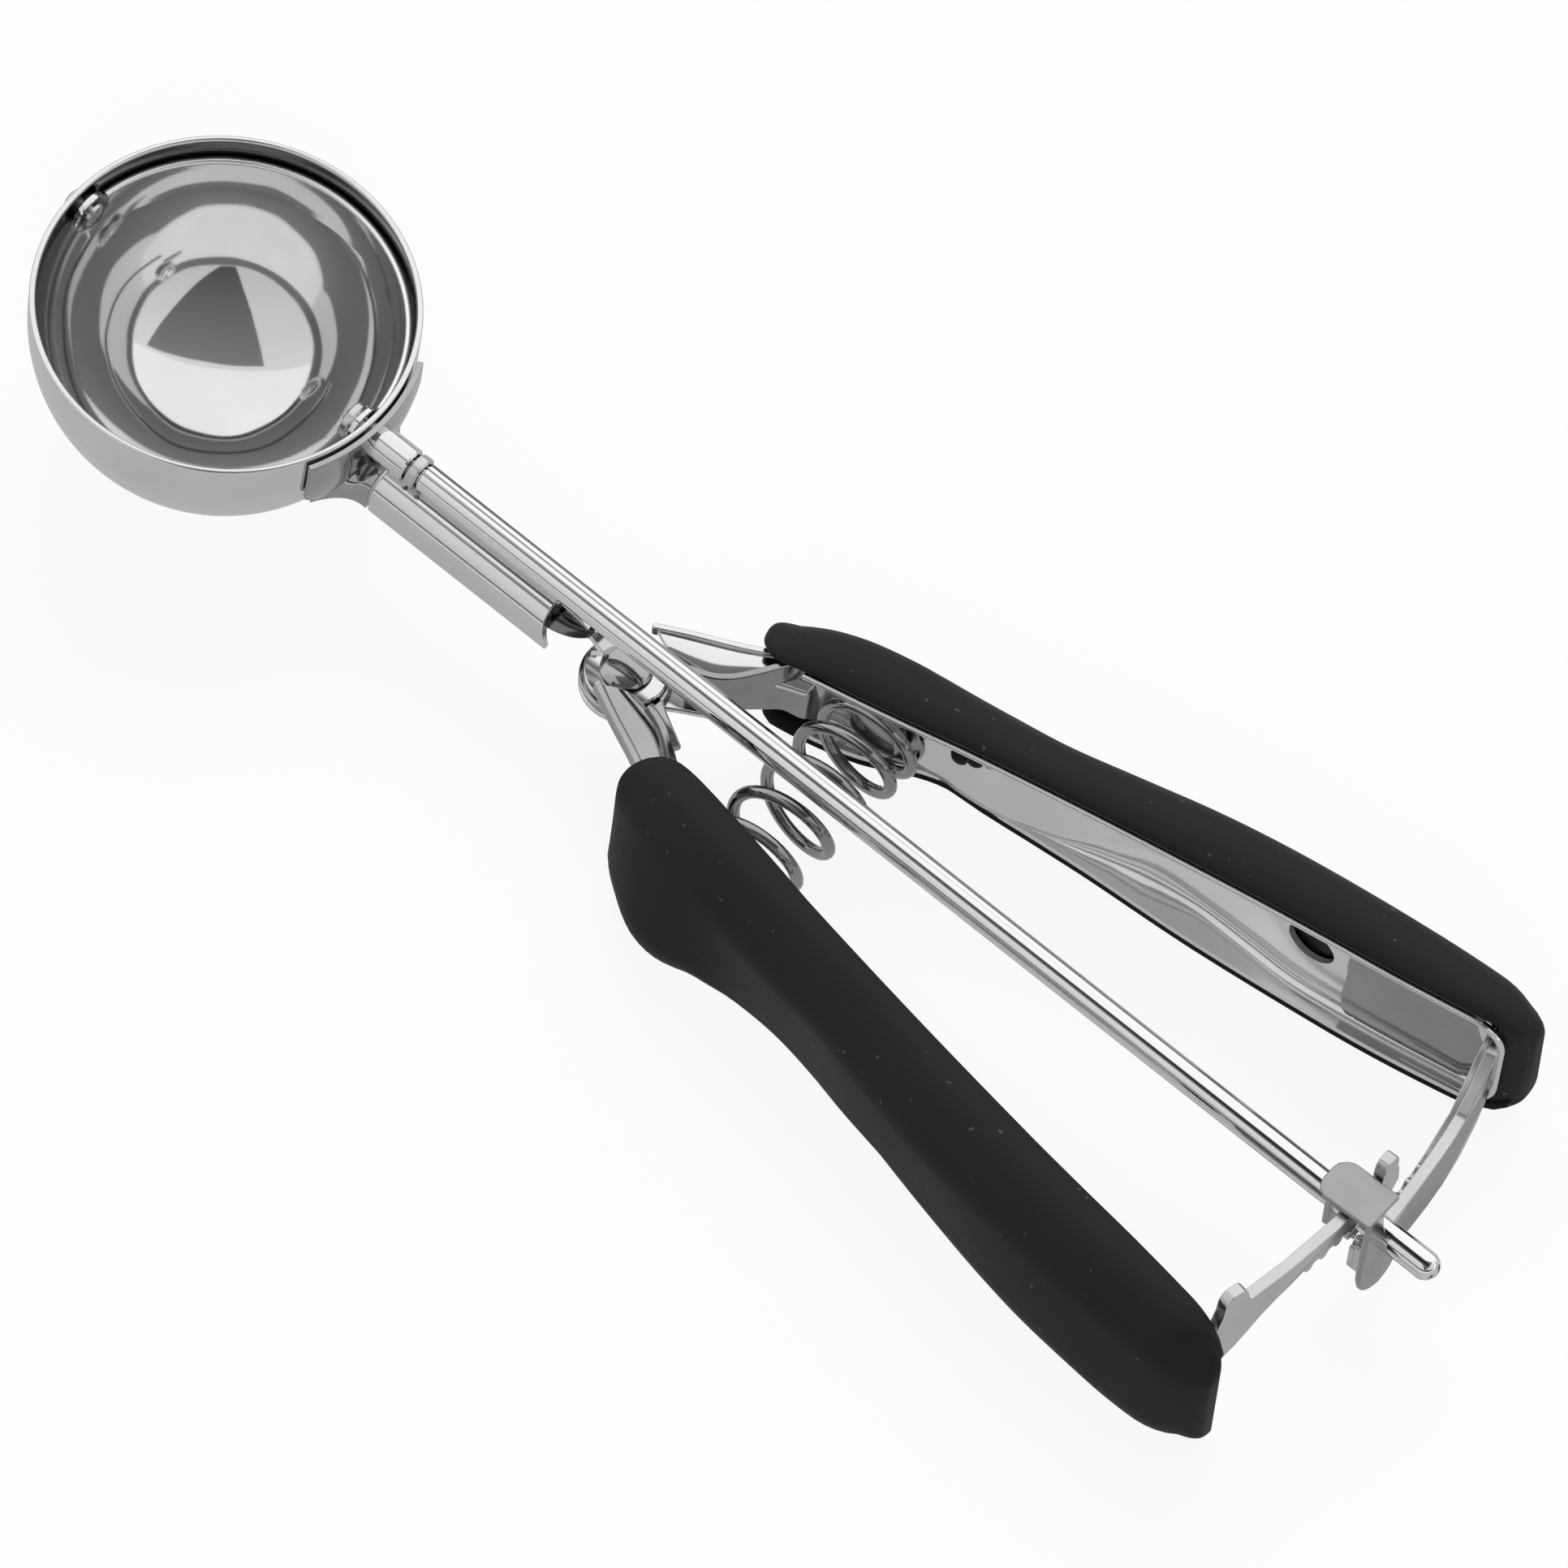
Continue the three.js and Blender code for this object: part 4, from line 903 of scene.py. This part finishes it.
def make_handle(word, mirror, ear, up, plate_steel):
    """One handle with all that rides on it; up is 1 where its rack passes over the pinion, -1 where under."""
    body = f"{word}_handle"

    # Rubber grip: a C-shaped sleeve, its closed rear end and three nubs under the top lip
    grip = Builder(table, mirror)
    nose = [GRIP_FRONT + d for d in (0.1, 0.3, 0.6, 0.9)]
    places = steps_between(GRIP_FRONT, grip_inside, GRIP_STEPS, nose)
    grip.loft([shell_ring(x, 0, 0, GRIP_WALL, GRIP_LIP, end_shrink(x), rounded=True) for x in places])
    cap = [grip_inside + d for d in (-3, -1.5, -0.6, 0, 0.3, 0.6, 0.9)]
    cap += [GRIP_REAR - d for d in (0.15, 0.05, 0.01)]
    grip.loft([[(x, y, z) for y, z in half_section(x, 0.03, 0.03, end_shrink(x))] for x in cap])
    ball = arc((0, 0), NUB_RADIUS, -QUARTER, QUARTER, 10)
    for x, z in NUBS:
        grip.lathe(ball, at=(x, out_top_line(x) - core_side - CORE_SHEET - 0.2, z), sides=20)
    grip.piece(f"{word}_rubber", body, "grip_rubber", black_rubber, [f"{word}_grip"], sharp=48)

    # Steel channel inside the grip, with a window that shows the dark behind it
    channel = Builder(table, mirror)
    places = steps_between(CORE_FRONT, core_rear - RIM_TURN, CHANNEL_STEPS)
    channel.loft([shell_ring(x, channel_side(x), core_lip, CORE_SHEET, CORE_SHEET, proud=CHANNEL_PROUD,
                             least=CHANNEL_CORNER) for x in places])
    # The channel takes the lighter copy of the steel as painted light
    core = channel.piece(f"{word}_channel", body, "bright_steel", lit_channel_steel, [])
    window = Builder(table, mirror)
    window.prism(window_oval(0), WINDOW_NEAR, WINDOW_FAR, lambda u, v, w: (u, w, v))
    cut(core, window.piece(f"{word}_window", None, None, bright_steel, []))
    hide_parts(f"{word}_handle_core")

    # Black lining behind the window
    lining = Builder(table, mirror)
    depth = out_low_line(WINDOW_X) - channel_side(WINDOW_X) + 0.2
    lining.prism(window_oval(LINING_MARGIN), depth, depth + LINING_SHEET,
                 lambda u, v, w: (u, w + (u - WINDOW_X) * 0.01, v))
    lining.piece(f"{word}_lining", body, "grip_rubber", black_rubber, [], bevel=0.3)

    # Rolled rim of the channel: along the top lip, round the rear end and back below
    rim_bar = Builder(table, mirror)
    turn_x = core_rear - 1.5 - RIM_TURN
    high, low = HANDLE_HEIGHT - core_lip - RIM_INSET, core_lip + RIM_INSET
    path = [(CORE_FRONT + (turn_x - CORE_FRONT) * i / CHANNEL_STEPS, high) for i in range(CHANNEL_STEPS)]
    path += arc((turn_x, high - RIM_TURN), RIM_TURN, QUARTER, 0, 10)
    path += arc((turn_x, low + RIM_TURN), RIM_TURN, 0, -QUARTER, 10)
    path += [(turn_x - 3, low), (turn_x - 8, low)]
    rings = []
    for i, (x, z) in enumerate(path):
        ax, az = path[max(i - 1, 0)]
        bx, bz = path[min(i + 1, len(path) - 1)]
        length = math.hypot(bx - ax, bz - az)
        out = Vector((-(bz - az) / length, 0, (bx - ax) / length))
        middle = Vector((x, lip_line(x) - RIM_INSET, z))
        rings.append([middle + out * (RIM_TALL * u) + Vector((0, RIM_WIDE * v, 0))
                      for u, v in full_circle((0, 0), 1, 12)])
    rim_bar.loft(rings)
    rim_bar.piece(f"{word}_rim", body, "bright_steel", bright_steel, [], sharp=60)

    # Neck and ear
    # The neck web takes the darkest copy of the steel as painted shade
    neck_web = Builder(table, mirror)
    neck_web.loft(upright_strip(neck_line, NECK_SHEET, neck_low, lambda x: neck_top(x) - 0.1))
    neck_web.piece(f"{word}_neck_web", body, "bright_steel", deep_shaded_steel, [], bevel=0.25, segments=3)
    neck = Builder(table, mirror)
    rows = []
    for (ax, ay), (bx, by) in zip(plate_in, plate_out):
        top, low = [], []
        for k in range(PLATE_ROWS + 1):
            t = k / PLATE_ROWS
            height = NECK_TOP + PLATE_CROWN * (1 - (2 * t - 1) ** 2) - 1.0
            spot = (ax + (bx - ax) * t, ay + (by - ay) * t)
            top.append((*spot, height))
            low.append((*spot, height - NECK_SHEET))
        rows.append(top + low[::-1])
    neck.loft(rows)
    edge_line = [(x + 0.3, y - 0.5) for x, y in plate_out]
    neck.loft(upright_strip(edge_line, PLATE_EDGE, lambda x: NECK_TOP - 1.5, lambda x: NECK_TOP + 0.2))
    neck.prism(full_circle((PIVOT_X, 0), EAR_RADIUS, 48), ear, ear + EAR_SHEET)
    neck.prism(strip([(PIVOT_X + 2, 0.3), (73.4, 3), (78, 5.6)], NECK_ARM), ear, ear + EAR_SHEET)
    neck.piece(f"{word}_neck", body, "bright_steel", plate_steel, [], bevel=0.25, segments=3)

    # Rack arm and its base plate
    arm = Builder(table, mirror)

    def bent(s, z, r):
        turn = s / RACK_RADIUS
        return (PIVOT_X + r * math.cos(turn), r * math.sin(turn), rack_mid + up * z)

    if up > 0:
        rise = [(15.4, RACK_TIP + 0.2), (17.8, 3.4), (20, 2.2), (22, 0.5), (24, -1.2), (27, -3.2)]
        arm.prism(toothed(-4.5, 13) + rise + upper_back, rack_front, rack_rear, bent)
    else:
        rise = [(14.9, 3.4), (20, 2)]
        arm.prism(toothed(-2, 12) + rise + lower_back, rack_front, RACK_RADIUS + 0.05, bent)
        arm.prism(soften(smooth_top + lower_back, 0.5), RACK_RADIUS, rack_rear + RACK_BACK, bent)
    root_x, root_y, _ = bent(RACK_ROOT, 0, RACK_RADIUS)
    foot = [(x, lip_line(x) + BASE_DEPTH) for x in (164.6, 168, 172, 176, 179.5)]
    foot += [(root_x - 1.2, root_y + 0.9), (root_x + 0.2, root_y - 0.4)]
    arm.piece(f"{word}_rack_arm", body, "satin_steel", satin_steel, [f"{word}_rack"], bevel=0.16)
    # The base plate takes the darkest copy of the steel as painted shade
    base = Builder(table, mirror)
    base.prism(strip(foot, BASE_SHEET), BASE_LOW, BASE_HIGH)
    tip_x = foot[0][0] + 0.3
    tip = [(tip_x, BASE_LOW), (163.0, 3.2), (162.4, 7.0), (162.8, 11.5), (162.6, 15.6), (163.4, 18.6),
           (tip_x, BASE_HIGH)]
    base.prism(soften(tip, 1.2), -BASE_SHEET / 2, BASE_SHEET / 2,
               lambda u, v, w: (u, lip_line(u) + BASE_DEPTH + w, v))
    base.piece(f"{word}_rack_base", body, "satin_steel", deep_shaded_steel, [], bevel=0.2)

    # Spring seat
    wall = out_top_line(SPRING_X) - core_side - CORE_SHEET
    back = max(wall - 0.4, SEAT_Y + 1.2)
    seat = Builder(table, mirror)
    across = Matrix.Rotation(-QUARTER, 4, "X")
    seat_back = SEAT_Y + SEAT_SHEET
    seat.lathe([(0, SEAT_Y - 2), (SEAT_CUP - 0.6, SEAT_Y - 2), (SEAT_CUP, SEAT_Y - 1.4), (SEAT_CUP, SEAT_Y),
                (SPRING_RADIUS - 0.2, SEAT_Y), (SPRING_RADIUS, SEAT_Y + 0.2),
                (SPRING_RADIUS, seat_back - 0.2), (SPRING_RADIUS - 0.2, seat_back), (SEAT_STEM, seat_back),
                (SEAT_STEM, back - 0.2), (SEAT_STEM - 0.2, back), (0, back)],
               about=across, at=(SPRING_X, 0, SPRING_Z), sides=48)
    # The seat takes the darkest copy of the steel as painted shade
    seat.piece(f"{word}_seat", body, "satin_steel", deep_shaded_steel, [f"{word}_spring_seat"])


# The right neck plate stays bright; the left one takes the darker copy of the steel as painted shade
make_handle("right", mirror=1, ear=right_ear, up=-1, plate_steel=bright_steel)
make_handle("left", mirror=-1, ear=left_ear, up=1, plate_steel=shaded_steel)

# Gear cover
COVER_SHEET = 0.9
COVER_CORNER = 2.4
cover_front = rear_plane - 5.1
cover_rear = PIVOT_X + rack_rear + RACK_BACK + 1.2
cover_top = rack_mid + 9.2
cover = Builder()
roof = [(cover_rear + COVER_SHEET, 0.3)]
roof += arc((cover_front + COVER_CORNER, -2.1), COVER_CORNER, QUARTER, math.pi, 10)
roof += arc((cover_front + COVER_CORNER, -3.6), COVER_CORNER, math.pi, 1.5 * math.pi, 10)
roof += [(cover_rear + COVER_SHEET, -6)]
cover.prism(roof, cover_top, cover_top + COVER_SHEET)
face = soften([(-2.6, rack_mid - 3.4), (2.6, rack_mid - 3.4), (2.8, rack_mid + 1.6), (-0.6, cover_top + 0.5),
               (-2.6, cover_top + 0.5)], 0.8)
cover.prism(face, cover_front, cover_front + COVER_SHEET, lambda u, v, w: (w, u, v))
flap = soften([
    (-5.6, cover_top + 0.5), (-5.6, rack_mid + 4.5), (-5.8, rack_mid), (-5.8, rack_mid - 4),
    (-5, rack_mid - 7.2), (-3.2, rack_mid - 9.2), (-1.2, rack_mid - 10), (0.6, rack_mid - 9.4),
    (1.8, rack_mid - 7.8), (2.2, rack_mid - 5), (1.6, rack_mid - 1), (-1.2, rack_mid + 2),
    (-2.2, rack_mid + 6), (-2.8, cover_top + 0.5)], 1.2)
cover.prism(flap, cover_rear, cover_rear + COVER_SHEET, lambda u, v, w: (w, u, v))
# The cover takes the darker copy of the satin steel as painted shade
cover.piece("cover_plate", "frame", "satin_steel", shaded_cover_steel, ["gear_cover"], bevel=0.35, segments=4)

# Coil spring
TURN_STEPS = 40
COIL_BUNCHING = 0.1         # how far the turns crowd towards the ends
spring = Builder()
reach = SEAT_Y - SPRING_WIRE / 2 - GAP
coil_steps = TURN_STEPS * SPRING_TURNS


def coil_point(t):
    """The wire's middle, from the left end at 0 to the right end at 1."""
    w = 2 * t - 1
    turn = math.pi * SPRING_TURNS * w + math.pi
    y = reach * (w + COIL_BUNCHING * math.sin(math.pi * w))
    return Vector((SPRING_X + SPRING_RADIUS * math.sin(turn), y, SPRING_Z + SPRING_RADIUS * math.cos(turn)))


coil_rings = []
for i in range(coil_steps + 1):
    t = i / coil_steps
    here = coil_point(t)
    along = (coil_point(t + 1e-4) - coil_point(t - 1e-4)).normalized()
    outward = Vector((here.x - SPRING_X, 0, here.z - SPRING_Z)).normalized()
    outward = (outward - along * outward.dot(along)).normalized()
    across = along.cross(outward)
    coil_rings.append([here + outward * u + across * v for u, v in full_circle((0, 0), SPRING_WIRE / 2, 14)])
spring.loft(coil_rings)
# The coil takes the darkest copy of the steel as painted shade
coil = spring.piece("coil", "frame", "spring_steel", deep_shaded_steel, ["coil_spring"])
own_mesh(coil)


# Studio
def compute(tree, operation, *values):
    node = tree.nodes.new("ShaderNodeMath")
    node.operation = operation
    feed(tree, node, dict(enumerate(values)))
    return node.outputs["Value"]


def ray_kinds(tree):
    """Outputs that are 1 for a mirrored ray, for a straight one from the camera, and for either."""
    path = tree.nodes.new("ShaderNodeLightPath").outputs
    mirrored = path["Is Glossy Ray"]
    straight = compute(tree, "MAXIMUM", path["Is Camera Ray"], path["Is Transmission Ray"])
    return mirrored, straight, compute(tree, "MAXIMUM", straight, mirrored)


def show(tree, output, share, first, second):
    """Shows a mix of two shaders."""
    mix = add(tree, "ShaderNodeMixShader", {"Fac": share, 1: first, 2: second})
    feed(tree, tree.nodes[output], {"Surface": mix.outputs["Shader"]})


def emitter(name, glow_share, in_mirrors, diffuse):
    """A white that the camera sees as the backdrop, and that still takes a soft shadow."""
    material, tree = new_material(name)
    shader = tree.nodes["Principled BSDF"]
    feed(tree, shader, {
        "Base Color": (diffuse, diffuse, diffuse, 1), "Roughness": 0.9, "Specular IOR Level": 0.0})
    mirrored, straight, seen = ray_kinds(tree)
    level = compute(tree, "MULTIPLY_ADD", mirrored, in_mirrors, straight)
    glow = add(tree, "ShaderNodeEmission", {"Strength": level})
    share = compute(tree, "MULTIPLY", seen, glow_share)
    show(tree, "Material Output", share, shader.outputs["BSDF"], glow.outputs["Emission"])
    return material


def flat_sheet(name, corners, material):
    mesh = bpy.data.meshes.new(name)
    mesh.from_pydata(corners, [], [tuple(range(len(corners)))])
    mesh.materials.append(material)
    return add_object(name, mesh)


FLOOR_HALF = 4.0
FLOOR_Z = -0.0002
ACROSS = Vector((0.82, 0.57, 0))
FAR = Vector((-0.57, 0.82, 0))
UP = Vector((0, 0, 1))
AMBIENT = 0.45
floor_corners = [(x * FLOOR_HALF, y * FLOOR_HALF, FLOOR_Z) for x, y in ((-1, -1), (1, -1), (1, 1), (-1, 1))]
floor_white = emitter("floor_white", glow_share=0.9, in_mirrors=0.5, diffuse=0.9)
flat_sheet("floor", floor_corners, floor_white)


def glow_card(name, corners, low, high):
    """A card that only mirrors see, shaded from its low edge to its high edge."""
    material, tree = new_material(name)
    where = tree.nodes.new("ShaderNodeTexCoord").outputs["Generated"]
    height = add(tree, "ShaderNodeSeparateXYZ", {"Vector": where}).outputs["Z"]
    glow = add(tree, "ShaderNodeEmission", {"Strength": spread(tree, height, low, high, start=0, end=1)})
    feed(tree, tree.nodes["Material Output"], {"Surface": glow.outputs["Emission"]})
    card = flat_sheet(name, corners, material)
    card.visible_camera = False
    card.visible_diffuse = False
    card.visible_shadow = False
    card.visible_transmission = False


def wide_card(half, top, foot):
    """Corners of a card that faces the camera; top and foot are heights and distances beyond the object."""
    corners = []
    for (up, far), sides in ((top, (-half, half)), (foot, (half, -half))):
        corners += [UP * up + FAR * far + ACROSS * side for side in sides]
    return corners


glow_card("panel_far", wide_card(4, top=(1.6, 0), foot=(0.55, 3)), low=1.15, high=1.05)
glow_card("panel_near", wide_card(4, top=(1.65, 0), foot=(0.4, -3)), low=0.5, high=0.85)
over_edge = UP * 1.55 - FAR * 0.08
glow_card("card_over", [over_edge - ACROSS * 0.75, over_edge + ACROSS * 1.7, UP * 0.62 - FAR * 1.7],
          low=0.04, high=0.22)
glow_card("card_front", wide_card(2, top=(0.5, -1.4), foot=(0.2, -1.4)), low=0.06, high=0.1)
glow_card("card_far", wide_card(3, top=(0.34, 2), foot=(0.06, 2)), low=0.03, high=0.06)


def softbox(name, place, size, power):
    """A soft light that faces the middle of the floor and isn't mirrored."""
    light = bpy.data.lights.new(name, "AREA")
    light.shape = "RECTANGLE"
    light.size, light.size_y = size
    light.energy = power
    obj = add_object(name, light)
    obj.visible_glossy = False
    aim = (-Vector(place)).to_track_quat("-Z", "Y")
    obj.matrix_world = Matrix.Translation(place) @ aim.to_matrix().to_4x4()


softbox("key", place=(-0.5, 0.9, 1.3), size=(1.2, 0.8), power=14)
softbox("fill", place=(0.9, -1.0, 1.2), size=(1.0, 1.0), power=8)

world = bpy.data.worlds.new("studio")
bpy.context.scene.world = world
world.use_nodes = True
world_tree = world.node_tree
ambient = world_tree.nodes["Background"]
feed(world_tree, ambient, {"Color": (1, 1, 1, 1), "Strength": AMBIENT})
backdrop = add(world_tree, "ShaderNodeBackground", {"Color": (1, 1, 1, 1), "Strength": 1.0})
_, _, seen = ray_kinds(world_tree)
show(world_tree, "World Output", seen, ambient.outputs["Background"], backdrop.outputs["Background"])

# Camera: fitted to the bowl's rim and the rod in the photograph
CAMERA_AT = (543.27, -644.52, 1303.84)
CAMERA_RIGHT = Vector((0.7665, 0.6401, 0.0523))
CAMERA_UP = Vector((-0.5689, 0.6390, 0.5177))
CAMERA_BACK = Vector((0.2980, -0.4266, 0.8539))
SENSOR = 36.0
FOCAL_SHARE = 14856.2 / 1932    # focal length over the picture's width
camera = bpy.data.cameras.new("camera")
camera.sensor_width = SENSOR
camera.sensor_fit = "HORIZONTAL"
camera.lens = SENSOR * FOCAL_SHARE
camera.clip_end = 50
camera_obj = add_object("camera", camera)
turn = Matrix((CAMERA_RIGHT, CAMERA_UP, CAMERA_BACK)).transposed().to_4x4()
camera_obj.matrix_world = Matrix.Translation(table @ Vector(CAMERA_AT)) @ turn
bpy.context.scene.camera = camera_obj
bpy.context.scene.view_settings.view_transform = "Standard"
